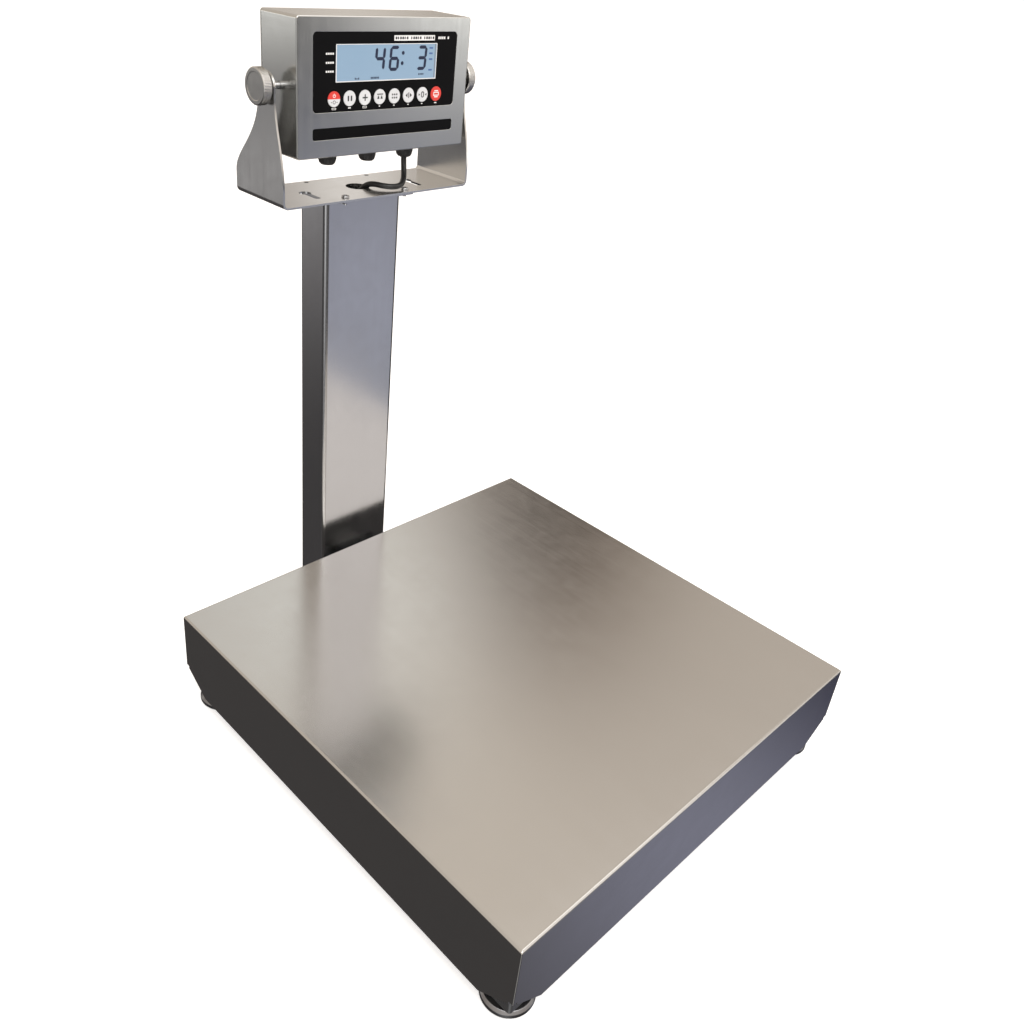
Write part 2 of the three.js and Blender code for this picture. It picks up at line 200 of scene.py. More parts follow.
def merged(*meshes):
    verts, faces = [], []
    for me in meshes:
        o = len(verts)
        verts += [tuple(v.co) for v in me.vertices]
        faces += [tuple(o + i for i in p.vertices) for p in me.polygons]
    out = bpy.data.meshes.new("work")
    out.from_pydata(verts, [], faces)
    return out


def boolean(base, *ops):
    ob = bpy.data.objects.new("work_a", base)
    coll.objects.link(ob)
    tools = []
    for op, me in ops:
        t = bpy.data.objects.new("work_b", me)
        coll.objects.link(t)
        tools.append(t)
        md = ob.modifiers.new("b", "BOOLEAN")
        md.operation, md.object, md.solver = op, t, "EXACT"
    dg = bpy.context.evaluated_depsgraph_get()
    dg.update()
    out = bpy.data.meshes.new_from_object(ob.evaluated_get(dg))
    for o in [ob, *tools]:
        bpy.data.objects.remove(o)
    return out


def cut(base, *tools):
    return boolean(base, *[("DIFFERENCE", t) for t in tools])


def tube(ax, a, b, u0, u1, v0, v1, t, r):
    """rectangular hollow section with rounded corners, along ax"""
    if ax == "x":
        return cut(prism(rrect(u0, u1, v0, v1, r, 6), a, b, "x"), prism(rrect(u0 + t, u1 - t, v0 + t, v1 - t, max(r - t, 0.8), 6), a - 5, b + 5, "x"))
    return cut(prism(rrect(u0, u1, v0, v1, r, 6), a, b, ax), prism(rrect(u0 + t, u1 - t, v0 + t, v1 - t, max(r - t, 0.8), 6), a - 5, b + 5, ax))


def piece(name, me, body, material, node=None, bevel=0.0, seg=3, angle=30, sharp=42, planar=True):
    bm = bmesh.new()
    bm.from_mesh(me)
    bmesh.ops.remove_doubles(bm, verts=bm.verts, dist=2e-4)
    if planar:
        bmesh.ops.dissolve_limit(bm, angle_limit=math.radians(0.25), verts=bm.verts, edges=bm.edges)
    for v in bm.verts:
        v.co = m_(*v.co)
    bm.normal_update()
    mesh = bpy.data.meshes.new(name)
    bm.to_mesh(mesh)
    bm.free()
    ob = bpy.data.objects.new(name, mesh)
    coll.objects.link(ob)
    if bevel:
        md = ob.modifiers.new("bevel", "BEVEL")
        md.width, md.segments, md.limit_method = bevel * 0.001, seg, "ANGLE"
        md.angle_limit, md.use_clamp_overlap, md.miter_outer = math.radians(angle), True, "MITER_ARC"
        dg = bpy.context.evaluated_depsgraph_get()
        dg.update()
        mesh = bpy.data.meshes.new_from_object(ob.evaluated_get(dg))
        mesh.name = name
        ob.modifiers.clear()
        ob.data = mesh
    mesh.polygons.foreach_set("use_smooth", [True] * len(mesh.polygons))
    mesh.set_sharp_from_angle(angle=math.radians(sharp))
    wn = ob.modifiers.new("normals", "WEIGHTED_NORMAL")
    wn.keep_sharp, wn.weight = True, 60
    mesh.materials.append(material)
    if body:
        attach(ob, body)
    if node:
        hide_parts(*([node] if isinstance(node, str) else node))
    return ob


# ------------------------------------------------------------------ material helpers
class Mat:
    def __init__(self, name, **sockets):
        self.m = bpy.data.materials.new(name)
        self.m.use_nodes = True
        self.nt = self.m.node_tree
        self.b = self.nt.nodes["Principled BSDF"]
        for k, v in sockets.items():
            self.b.inputs[k.replace("_", " ")].default_value = (*v, 1) if isinstance(v, tuple) and len(v) == 3 else v
        self.tc = self.nt.nodes.new("ShaderNodeTexCoord")

    def node(self, kind, inputs=None, **props):
        n = self.nt.nodes.new(kind)
        for k, v in props.items():
            setattr(n, k, v)
        for k, v in (inputs or {}).items():
            if isinstance(v, bpy.types.NodeSocket):
                self.nt.links.new(v, n.inputs[k])
            else:
                n.inputs[k].default_value = (*v, 1) if isinstance(v, tuple) and len(v) == 3 and n.inputs[k].type == "RGBA" else v
        return n

    def math(self, op, a, b=0.0, c=0.0, clamp=False):
        return self.node("ShaderNodeMath", {0: a, 1: b, 2: c}, operation=op, use_clamp=clamp).outputs[0]

    def noise(self, scale, detail=4.0, rough=0.6, at=None, distortion=0.0):
        """scale is one number, or three for noise stretched along an axis, per metre"""
        src = at or self.tc.outputs["Object"]
        if isinstance(scale, tuple):
            mp = self.node("ShaderNodeMapping", {"Vector": src, "Scale": Vector(scale)})
            src, scale = mp.outputs[0], 1.0
        return self.node("ShaderNodeTexNoise", {"Vector": src, "Scale": scale, "Detail": detail, "Roughness": rough, "Distortion": distortion}).outputs["Fac"]

    def ramp(self, fac, *stops):
        n = self.node("ShaderNodeValToRGB", {"Fac": fac})
        e = n.color_ramp.elements
        while len(e) < len(stops):
            e.new(0.5)
        for k, (p, c) in enumerate(stops):
            e[k].position = p
            e[k].color = (*c, 1) if isinstance(c, tuple) else (c, c, c, 1)
        return n.outputs[0]

    def span(self, fac, a, b, lo, hi):
        """maps a..b onto lo..hi, clamped"""
        return self.node("ShaderNodeMapRange", {"Value": fac, "From Min": a, "From Max": b, "To Min": lo, "To Max": hi}).outputs[0]

    def mix(self, fac, a, b, mode="MIX"):
        n = self.node("ShaderNodeMix", {}, data_type="RGBA", blend_type=mode)
        for k, v in (("Factor", fac), (6, a), (7, b)):
            sock = n.inputs[0] if k == "Factor" else n.inputs[k]
            if isinstance(v, bpy.types.NodeSocket):
                self.nt.links.new(v, sock)
            else:
                sock.default_value = (*v, 1) if isinstance(v, tuple) else v
        return n.outputs[2]

    def link(self, out, name):
        self.nt.links.new(out, self.b.inputs[name])

    def bump(self, height, distance, strength=1.0, under=None):
        n = self.node("ShaderNodeBump", {"Height": height, "Distance": distance, "Strength": strength})
        if under is not None:
            self.nt.links.new(under, n.inputs["Normal"])
        return n.outputs[0]


def times(c, k):
    return tuple(min(1.0, x * k) for x in c)


def steel(name, tint, rough, grain="xxy", across=900.0, along=7.0, depth=1.1e-5, soft=1.0, scratch=1.0, wave=0.0, vary=0.05, streak=0.6):
    """brushed stainless sheet: grain gives the brushing axis on faces whose normal is x, y and z"""
    s = Mat(name, Metallic=1.0, Roughness=rough, Base_Color=tint)
    sep = s.node("ShaderNodeSeparateXYZ", {0: s.tc.outputs["Normal"]})
    ax = [s.math("ABSOLUTE", sep.outputs[k]) for k in range(3)]
    on = {}
    for k, g in enumerate(grain):
        mask = s.math("GREATER_THAN", ax[k], 0.72)
        on[g] = s.math("ADD", on[g], mask, clamp=True) if g in on else mask
    fine = med = None
    for g, mask in on.items():
        sc = [across] * 3
        sc["xyz".index(g)] = along
        f = s.noise(tuple(sc), 3.0, 0.7)
        sc2 = [across * 0.13] * 3
        sc2["xyz".index(g)] = along * 0.35
        d = s.noise(tuple(sc2), 4.0, 0.6)
        if fine is None:
            fine, med = f, d
        else:
            fine = s.node("ShaderNodeMix", {0: mask, 2: fine, 3: f}, data_type="FLOAT").outputs[0]
            med = s.node("ShaderNodeMix", {0: mask, 2: med, 3: d}, data_type="FLOAT").outputs[0]
    cloud = s.noise(9.0, 5.0, 0.62)
    cloud2 = s.noise(34.0, 4.0, 0.6, distortion=0.6)
    # long single scratches, few and fine
    sc = s.node("ShaderNodeTexVoronoi", {"Vector": s.node("ShaderNodeMapping", {"Vector": s.tc.outputs["Object"], "Scale": Vector((150.0, 11.0, 60.0)), "Rotation": Vector((0.2, 0.1, 0.5))}).outputs[0], "Scale": 1.0}, feature="DISTANCE_TO_EDGE").outputs["Distance"]
    line = s.math("MULTIPLY", s.span(sc, 0.0, 0.012, 1.0, 0.0), s.span(cloud2, 0.56, 0.66, 0.0, scratch))
    shade = s.math("ADD", s.math("MULTIPLY", s.math("SUBTRACT", fine, 0.5), 0.16 * streak), s.math("MULTIPLY", s.math("SUBTRACT", med, 0.5), 0.22 * streak))
    shade = s.math("ADD", shade, s.math("MULTIPLY", s.math("SUBTRACT", cloud, 0.5), 0.22 * soft))
    col = s.mix(s.math("ADD", shade, 0.5, clamp=True), times(tint, 0.80), times(tint, 1.2))
    col = s.mix(s.math("MULTIPLY", line, 0.35), col, times(tint, 0.55))
    s.link(col, "Base Color")
    r = s.math("ADD", s.math("MULTIPLY", s.math("SUBTRACT", med, 0.5), 0.20 * streak), rough)
    r = s.math("ADD", r, s.math("MULTIPLY", s.math("SUBTRACT", cloud2, 0.5), vary * 2.4))
    r = s.math("ADD", r, s.math("MULTIPLY", line, 0.2), clamp=True)
    s.link(r, "Roughness")
    n = s.bump(fine, depth)
    n = s.bump(s.math("MULTIPLY", line, -1.0), 6e-6, 1.0, n)
    if wave:
        n = s.bump(s.noise(5.5, 2.0, 0.5), wave, 1.0, n)
    s.link(n, "Normal")
    return s.m


def cast_metal(name, tint, rough, scale=420.0, depth=8e-6, metallic=1.0):
    s = Mat(name, Metallic=metallic, Roughness=rough, Base_Color=tint)
    a, b = s.noise(scale, 5.0, 0.65), s.noise(38.0, 4.0, 0.6)
    s.link(s.mix(s.span(b, 0.3, 0.7, 0.0, 1.0), times(tint, 0.78), times(tint, 1.12)), "Base Color")
    s.link(s.math("ADD", s.span(b, 0.3, 0.7, rough - 0.06, rough + 0.08), s.math("MULTIPLY", s.math("SUBTRACT", a, 0.5), 0.15)), "Roughness")
    s.link(s.bump(a, depth), "Normal")
    return s.m


def turned(name, tint, rough, ax, centre, pitch=2400.0):
    """lathe-turned metal: concentric marks about an axis through centre (metres)"""
    s = Mat(name, Metallic=1.0, Roughness=rough, Base_Color=tint)
    v = s.node("ShaderNodeVectorMath", {0: s.tc.outputs["Object"], 1: Vector(centre)}, operation="SUBTRACT")
    keep = [1.0, 1.0, 1.0]
    keep["xyz".index(ax)] = 0.0
    v2 = s.node("ShaderNodeVectorMath", {0: v.outputs[0], 1: Vector(keep)}, operation="MULTIPLY")
    d = s.node("ShaderNodeVectorMath", {0: v2.outputs[0]}, operation="LENGTH").outputs["Value"]
    comb = s.node("ShaderNodeCombineXYZ", {0: s.math("MULTIPLY", d, pitch)})
    rings = s.noise(1.0, 3.0, 0.7, at=comb.outputs[0])
    cloud = s.noise(120.0, 4.0, 0.6)
    s.link(s.mix(s.math("ADD", s.math("MULTIPLY", rings, 0.75), s.math("MULTIPLY", cloud, 0.25)), times(tint, 0.80), times(tint, 1.14)), "Base Color")
    s.link(s.math("ADD", s.math("MULTIPLY", s.math("SUBTRACT", rings, 0.5), 0.16), s.span(cloud, 0.3, 0.7, rough - 0.03, rough + 0.04)), "Roughness")
    s.link(s.bump(rings, 5e-6), "Normal")
    return s.m


def plastic(name, base, rough, grain=1500.0, depth=1.2e-5, vary=0.12, dust=0.0, coat=0.0):
    s = Mat(name, Roughness=rough, Base_Color=base)
    if coat:
        s.b.inputs["Coat Weight"].default_value = coat
        s.b.inputs["Coat Roughness"].default_value = 0.12
    a, b = s.noise(grain, 2.0, 0.5), s.noise(45.0, 5.0, 0.65)
    col = s.mix(s.span(b, 0.3, 0.7, 0.0, 1.0), times(base, 1 - vary), times(base, 1 + vary))
    if dust:
        col = s.mix(s.span(s.noise(160.0, 6.0, 0.7), 0.5, 0.8, 0.0, dust), col, (0.32, 0.31, 0.29))
    s.link(col, "Base Color")
    s.link(s.math("ADD", s.span(b, 0.3, 0.7, rough - 0.07, rough + 0.07), s.math("MULTIPLY", s.math("SUBTRACT", a, 0.5), 0.1)), "Roughness")
    s.link(s.bump(a, depth), "Normal")
    return s.m


M_cover = steel("cover_brushed", (0.60, 0.59, 0.57), 0.22, "xxy", across=1500, along=5, depth=2.2e-6, wave=1.2e-4, soft=0.45, scratch=0.12, vary=0.03, streak=0.28)
M_column = steel("column_brushed", (0.60, 0.60, 0.61), 0.2, "zzx", across=1200, along=5, depth=2.5e-6, wave=4e-5, soft=0.6, scratch=0.1, vary=0.04, streak=0.4)
M_casing = steel("casing_brushed", (0.61, 0.61, 0.59), 0.21, "yzx", across=1600, along=14, depth=2.4e-6, wave=4e-5, soft=0.6, scratch=0.0, vary=0.035, streak=0.42)
# painted light: the yoke's steel is tinted lighter than the other sheet steel to stand in for the bright reflection
# along the arm
M_yoke_lit = steel("yoke_brushed_lit", (0.70, 0.70, 0.69), 0.22, "zzx", across=1400, along=10, depth=2.6e-6, wave=3e-5, soft=0.7, scratch=0.0, vary=0.04, streak=0.4)
M_frame = steel("frame_tube", (0.40, 0.41, 0.42), 0.42, "yxx", across=700, along=9, depth=1.6e-5, soft=1.5, vary=0.08)
M_zinc = cast_metal("bright_zinc", (0.60, 0.61, 0.63), 0.26)
M_foot = cast_metal("foot_steel", (0.27, 0.27, 0.28), 0.30, 300.0)
M_alu = cast_metal("anodised_alloy", (0.66, 0.67, 0.68), 0.38, 700.0, 5e-6)
M_rubber = plastic("black_rubber", (0.018, 0.018, 0.018), 0.78, 900, 3e-5, 0.2, dust=0.25)
M_gland = plastic("gland_nylon", (0.014, 0.014, 0.015), 0.42, 1300, 1.5e-5, 0.2, dust=0.06)
M_cable = plastic("cable_jacket", (0.010, 0.010, 0.011), 0.38, 900, 1.2e-5, 0.2, dust=0.04)
M_panel = plastic("panel_film", (0.0035, 0.0035, 0.004), 0.40, 2600, 4e-6, 0.1)
M_panel.node_tree.nodes["Principled BSDF"].inputs["Specular IOR Level"].default_value = 0.09
M_white = plastic("print_white", (0.72, 0.72, 0.72), 0.5, 2200, 4e-6, 0.05)
M_grey = plastic("print_grey", (0.16, 0.16, 0.17), 0.5, 2200, 4e-6, 0.05)
M_keygrey = plastic("key_film_grey", (0.60, 0.61, 0.63), 0.42, 2600, 6e-6, 0.05, coat=0.2)
M_keyred = plastic("key_film_red", (0.62, 0.036, 0.026), 0.42, 2600, 6e-6, 0.06, coat=0.2)
M_keymark = plastic("key_print_dark", (0.016, 0.016, 0.02), 0.5, 2200, 4e-6, 0.05)
M_digit = plastic("digit_dark", (0.010, 0.016, 0.045), 0.35, 2200, 3e-6, 0.08)
M_digit2 = plastic("digit_faint", (0.06, 0.12, 0.28), 0.35, 2200, 3e-6, 0.08)


def split_key(name, z):
    """power key: red film above the middle line, grey film below it"""
    s = Mat(name, Roughness=0.42)
    sep = s.node("ShaderNodeSeparateXYZ", {0: s.tc.outputs["Object"]})
    up = s.math("GREATER_THAN", sep.outputs[2], z)
    b = s.noise(45.0, 5.0, 0.65)
    red = s.mix(b, (0.56, 0.030, 0.024), (0.68, 0.042, 0.030))
    grey = s.mix(b, (0.56, 0.57, 0.59), (0.64, 0.65, 0.67))
    s.link(s.mix(up, grey, red), "Base Color")
    s.link(s.span(b, 0.3, 0.7, 0.36, 0.48), "Roughness")
    s.link(s.bump(s.noise(2600.0, 2.0, 0.5), 6e-6), "Normal")
    return s.m


def glass_display(name):
    """back-lit display: pale blue, with painted shading that makes it darker towards the left edge and the top, under a
    clear coat
    """
    s = Mat(name, Roughness=0.16)
    s.b.inputs["Specular IOR Level"].default_value = 0.25
    sep = s.node("ShaderNodeSeparateXYZ", {0: s.tc.outputs["Object"]})
    # painted shading: the glass colour is darker towards the left edge and towards the top
    side = s.span(sep.outputs[0], -0.075, 0.075, 0.0, 1.0)
    top_shade = s.span(sep.outputs[2], 0.776, 0.816, 0.0, 1.0)
    n = s.noise(30.0, 3.0, 0.5)
    col = s.mix(side, (0.170, 0.275, 0.385), (0.205, 0.30, 0.41))
    col = s.mix(s.math("MULTIPLY", top_shade, 0.35), (0.215, 0.315, 0.43), col)
    col = s.mix(s.math("MULTIPLY", n, 0.12), col, (0.30, 0.39, 0.49))
    # fine pixel-less cell texture of the reflector film
    f = s.noise(5200.0, 1.0, 0.5)
    col = s.mix(s.math("MULTIPLY", f, 0.08), col, (0.13, 0.2, 0.3))
    s.link(col, "Base Color")
    s.link(col, "Emission Color")
    s.b.inputs["Emission Strength"].default_value = 0.10
    s.link(s.span(n, 0.3, 0.7, 0.12, 0.2), "Roughness")
    s.link(s.bump(f, 2e-6), "Normal")
    return s.m


def circuit(name):
    s = Mat(name, Roughness=0.45)
    br = s.node("ShaderNodeTexBrick", {"Vector": s.node("ShaderNodeMapping", {"Vector": s.tc.outputs["Object"], "Rotation": Vector((math.radians(90), 0, 0))}).outputs[0], "Scale": 150.0, "Mortar Size": 0.018, "Color1": (0.010, 0.10, 0.035), "Color2": (0.014, 0.13, 0.045), "Mortar": (0.05, 0.30, 0.11)})
    v = s.noise(60.0, 4.0, 0.6)
    s.link(s.mix(s.span(v, 0.4, 0.7, 0.0, 0.4), br.outputs["Color"], (0.008, 0.06, 0.02)), "Base Color")
    s.link(s.span(v, 0.3, 0.7, 0.35, 0.55), "Roughness")
    s.link(s.bump(br.outputs["Fac"], 3e-5), "Normal")
    return s.m


M_display = glass_display("display_backlit")
M_board = circuit("circuit_board")
M_split = split_key("power_key_film", 0.7588)


# ------------------------------------------------------------------ signal cable
CABLE = [[60, 338, 687], [60, 338, 676], [59, 336, 666], [55.5, 331, 657], [49.5, 325, 651.2], [42, 320, 648.1], [33, 317.8, 647.1],
         [24.5, 320, 647.1], [17.5, 326.5, 647.5], [12.5, 335, 647.9], [8.5, 343.5, 646.2], [5.5, 350.5, 641.2], [3.2, 355.5, 634], [1.6, 359, 624.5],
         [0.6, 361.5, 613], [0.2, 363, 601], [0, 364, 590]]
RUN = [[0, 364, 589.7], [0, 366, 560], [0, 368, 500], [0, 368, 400], [0, 368, 300], [0, 368, 200], [0, 368, 120],
       [0, 365, 98], [0, 357, 82], [0, 344, 74], [0, 328, 71.6], [0, 300, 71.4], [0, 270, 71.4], [0, 235, 70.5], [0, 190, 67], [0, 140, 66], [0, 100, 66], [0, 75.3, 66]]
CABLE_R = 3.5


def smooth_line(pts, step):
    """centripetal Catmull-Rom curve through pts, resampled evenly"""
    p = [Vector(q) for q in pts]
    n = len(p)
    dense = []
    for k in range(n - 1):
        p1, p2 = p[k], p[k + 1]
        p0 = p[k - 1] if k else 2 * p1 - p2
        p3 = p[k + 2] if k + 2 < n else 2 * p2 - p1
        d0, d1, d2 = (math.sqrt((a - b).length) for a, b in ((p0, p1), (p1, p2), (p2, p3)))
        t1 = ((p1 - p0) / d0 - (p2 - p0) / (d0 + d1) + (p2 - p1) / d1) * d1
        t2 = ((p2 - p1) / d1 - (p3 - p1) / (d1 + d2) + (p3 - p2) / d2) * d1
        c2, c3 = -3 * p1 + 3 * p2 - 2 * t1 - t2, 2 * p1 - 2 * p2 + t1 + t2
        for i in range(24):
            w = i / 24
            dense.append(p1 + t1 * w + c2 * w * w + c3 * w ** 3)
    dense.append(p[-1])
    total = sum((b - a).length for a, b in zip(dense, dense[1:]))
    count = max(2, round(total / step))
    out, acc, i = [dense[0]], 0.0, 0
    for k in range(1, count):
        want = total * k / count
        while acc + (dense[i + 1] - dense[i]).length < want:
            acc += (dense[i + 1] - dense[i]).length
            i += 1
        seg = dense[i + 1] - dense[i]
        out.append(dense[i] + seg * ((want - acc) / seg.length))
    out.append(dense[-1])
    return out, total


def sweep(line, r, n=20):
    """round tube along a line with flat capped ends, frames carried without twist"""
    t = [(line[min(k + 1, len(line) - 1)] - line[max(k - 1, 0)]).normalized() for k in range(len(line))]
    u = t[0].orthogonal().normalized()
    layers = []
    for k, c in enumerate(line):
        u = (u - t[k] * u.dot(t[k])).normalized()
        v = t[k].cross(u)
        layers.append([tuple(c + (u * math.cos(2 * math.pi * i / n) + v * math.sin(2 * math.pi * i / n)) * r) for i in range(n)])
    return stack(layers)


line, length = smooth_line(CABLE, 1.6)
while line[0].z > 683.0:
    line.pop(0)
length = sum((b - a).length for a, b in zip(line, line[1:]))
cable = piece("signal_cable", sweep(line, CABLE_R, 28), None, M_cable, planar=False)
cable.modifiers.clear()
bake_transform(cable)
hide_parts("cable_loop")
run, _ = smooth_line(RUN, 3.0)
piece("signal_cable_inner_run", sweep(run, CABLE_R, 16), "base", M_cable, "cable_run", planar=False)


# ------------------------------------------------------------------ platform cover
H, Z0 = 305.0, 23.0


def build_cover():
    layers = [[at(u, v, 20.0, "z") for u, v in rrect(-H, H, -H, H, 1.3, 5)]]
    for k in range(9):
        t = math.radians(90 * k / 8)
        ins = 3.0 * (1 - math.cos(t))
        z = 130.0 + 3.0 * math.sin(t)
        layers.append([(u, v, z) for u, v in rrect(-H + ins, H - ins, -H + ins, H - ins, max(1.3 - ins * 0.3, 0.5), 5)])
    inner = prism(rrect(-303, 303, -303, 303, 0.6, 3), -10, 131, "z")
    tools = [inner, prism([(-400, -400), (400, -400), (400, 400), (-400, 400)], -20, Z0, "z")]
    for s in (1, -1):
        tri = [(s * (H + 5), Z0 - 5), (s * (H + 5), Z0 + 33.333), (s * (H - 52.5), Z0 - 5)]
        for ax in ("y", "x"):
            tools.append(prism(tri, -H - 2, -H + 6, ax))
            tools.append(prism(tri, H - 6, H + 2, ax))
    tools.append(prism(rrect(-65, 65, 0, 82, 8, 8), H - 10, H + 10, "y"))
    return cut(stack(layers), *tools)


piece("cover_sheet", build_cover(), "cover", M_cover, "platform_cover", bevel=0.35, sharp=40)

# ------------------------------------------------------------------ base frame
CORNERS = {"fl": (-1, -1), "fr": (1, -1), "rl": (-1, 1), "rr": (1, 1)}
for key, (sx, sy) in CORNERS.items():
    cx, cy = sx * 272.0, sy * 272.0
    leg = cut(prism(rrect(cx - 25, cx + 25, cy - 25, cy + 25, 4, 7), 19, 66), prism(rrect(cx - 22, cx + 22, cy - 22, cy + 22, 1.5, 5), 24, 90), cyl(cx, cy, 5.4, 10, 40))
    piece("leg_tube_" + key, leg, "base", M_frame, "corner_leg_" + key, bevel=0.4)
    # foot: rubber sole, turned disc, hexagon, threaded stud
    sole = lathe(fillet([(0, 0), (26.5, 0), (27.5, 1.0), (27.5, 2.6), (0, 2.6)], 0.5), 72, c=(cx, cy, 0))
    piece("foot_sole_" + key, sole, "foot_" + key, M_rubber)
    disc = lathe(fillet([(0, 1.6), (27.0, 1.6), (29.5, 3.6), (29.5, 8.0), (26.6, 11.3), (15.5, 11.9), (13.5, 12.5), (0, 12.5)], [0, .5, 1.6, 2.2, 2.2, 1.2, .6, 0], 5), 96, c=(cx, cy, 0))
    piece("foot_disc_" + key, disc, "foot_" + key, M_foot, "levelling_foot_" + key)
    hexa = boolean(prism([(cx + 11 * math.cos(math.radians(60 * k + 15)), cy + 11 * math.sin(math.radians(60 * k + 15))) for k in range(6)], 12.3, 18.4),
                   ("INTERSECT", lathe([(0, 12.2), (10.4, 12.2), (11.4, 13.0), (11.4, 17.7), (9.7, 18.5), (0, 18.5)], 60, c=(cx, cy, 0))))
    piece("foot_hexagon_" + key, hexa, "foot_" + key, M_zinc, bevel=0.2)
    turns, per = 26, 12
    rows = [(0.0, 18.2)] + [(4.95, 18.2 + 39.3 * k / (turns * per)) for k in range(turns * per + 1)] + [(0.0, 57.5)]

    def thread(r, h, t):
        f = ((h - 18.2) / 1.5 - t / (2 * math.pi)) % 1.0
        return r - 0.85 * abs(2 * f - 1) ** 1.3 - max(0.0, (h - 56.5)) * 0.8
    piece("foot_stud_" + key, lathe(rows, 28, c=(cx, cy, 0), mod=thread), "foot_" + key, M_zinc, planar=False, sharp=75)

LI = 246.7
for n, s in (("left", -1), ("right", 1)):
    piece("rail_tube_" + n, tube("y", -LI, LI, min(s * 252, s * 292), max(s * 252, s * 292), 36, 66, 3, 4.5), "base", M_frame, "base_rail_" + n, bevel=0.3)
for n, a in (("front", -292), ("rear", 252)):
    piece("cross_tube_" + n, tube("x", -LI, LI, a, a + 40, 36, 66, 3, 4.5), "base", M_frame, "base_cross_" + n, bevel=0.3)
piece("cell_beam", cut(prism(rrect(22, 82, 36, 45.7, 1.5, 4), -251.7, 251.7, "x"), cyl(0, 40, 4.4, 30, 50), cyl(0, 64, 4.4, 30, 50)), "base", M_frame, "load_cell_beam", bevel=0.3)

cell = cut(prism(rrect(-20, 20, -75, 75, 1.2, 3), 46, 86), cyl(-16, 66, 13, -30, 30, "x", 56), cyl(16, 66, 13, -30, 30, "x", 56), prism([(-16, 61), (16, 61), (16, 71), (-16, 71)], -30, 30, "x"),
           *[cyl(0, y, 4.4, 40, 62) for y in (40, 64)], *[cyl(0, y, 4.4, 70, 90) for y in (-40, -64)])
piece("cell_block", cell, "base", M_alu, "load_cell", bevel=0.5)


def hexbolt(y, up):
    """hex-head bolt, chamfered head, shank with thread rings"""
    hx = boolean(prism([(7.5 * math.cos(math.radians(60 * k)), 7.5 * math.sin(math.radians(60 * k))) for k in range(6)], -5.3, 0),
                 ("INTERSECT", lathe([(0, -5.4), (6.3, -5.3), (7.6, -4.4), (7.6, 0.1), (0, 0.1)], 48)))
    top = 24.5 if up else 20.5
    rings = [(0, -0.5), (3.95, -0.5), (3.95, 3.0)] + [(3.95 - (0.5 if k % 2 else 0.0), 3.0 + 0.62 * k) for k in range(1, int((top - 3.6) / 0.62))] + [(3.3, top), (0, top)]
    me = merged(hx, lathe(rings, 28))
    me.transform(Matrix.Translation((0, y, 35.7)) if up else Matrix.Translation((0, y, 95.3)) @ Matrix.Rotation(math.pi, 4, "X"))
    return me


for n, y, up in (("base_inner", 40, True), ("base_outer", 64, True), ("top_inner", -40, False), ("top_outer", -64, False)):
    piece("cell_bolt_" + n, hexbolt(y, up), "base", M_zinc, "load_cell_bolt_" + n, planar=False)

beam = boolean(tube("y", -259.7, 259.7, -20, 20, 92, 122, 3, 4.5), ("UNION", prism([(-20, -78), (20, -78), (20, -28), (-20, -28)], 86.3, 93.5)),
               *[("DIFFERENCE", cyl(0, y, 4.4, 80, 100)) for y in (-40, -64)], *[("DIFFERENCE", cyl(0, y, 8.5, 110, 130)) for y in (-40, -64)])
piece("top_beam", beam, "base", M_frame, "upper_beam", bevel=0.3)
for n, a in (("front", -290), ("rear", 260)):
    piece("top_cross_" + n, tube("x", -285, 285, a, a + 30, 92, 122, 3, 4.5), "base", M_frame, "upper_cross_" + n, bevel=0.3)
for key, (sx, sy) in CORNERS.items():
    pad = lathe(fillet([(0, 122.3), (13, 122.3), (13, 127.3), (11, 130.7), (3.2, 130.7), (3.2, 129.2), (0, 129.2)], 0.7), 56, c=(sx * 262, sy * 275, 0))
    piece("pad_rubber_" + key, pad, "base", M_rubber, "rest_pad_" + key)

# ------------------------------------------------------------------ column
shell = cut(prism(rrect(-60, 60, 340, 395, 6, 10), 19, 636), prism(rrect(-58, 58, 342, 393, 4, 8), 10, 640), cyl(0, 72.5, 6, 335, 350, "y"))
piece("column_tube", shell, "base", M_column, "column", bevel=0.3)
piece("column_foot_bracket", tube("y", 292.3, 339.7, -55, 55, 36, 66, 4, 5), "base", M_frame, "column_bracket", bevel=0.4)
head = cut(prism(rrect(-58, 58, 311, 394.5, 5, 8), 636.3, 639.2), cyl(0, 355, 15, 600, 660, n=56), cyl(-47, 318, 2.7, 600, 660), cyl(47, 318, 2.7, 600, 660))
piece("column_top_plate", head, "base", M_column, "column_head_plate", bevel=0.3)

# ------------------------------------------------------------------ yoke
W, ZB, YT = 144.0, 639.5, 642.0


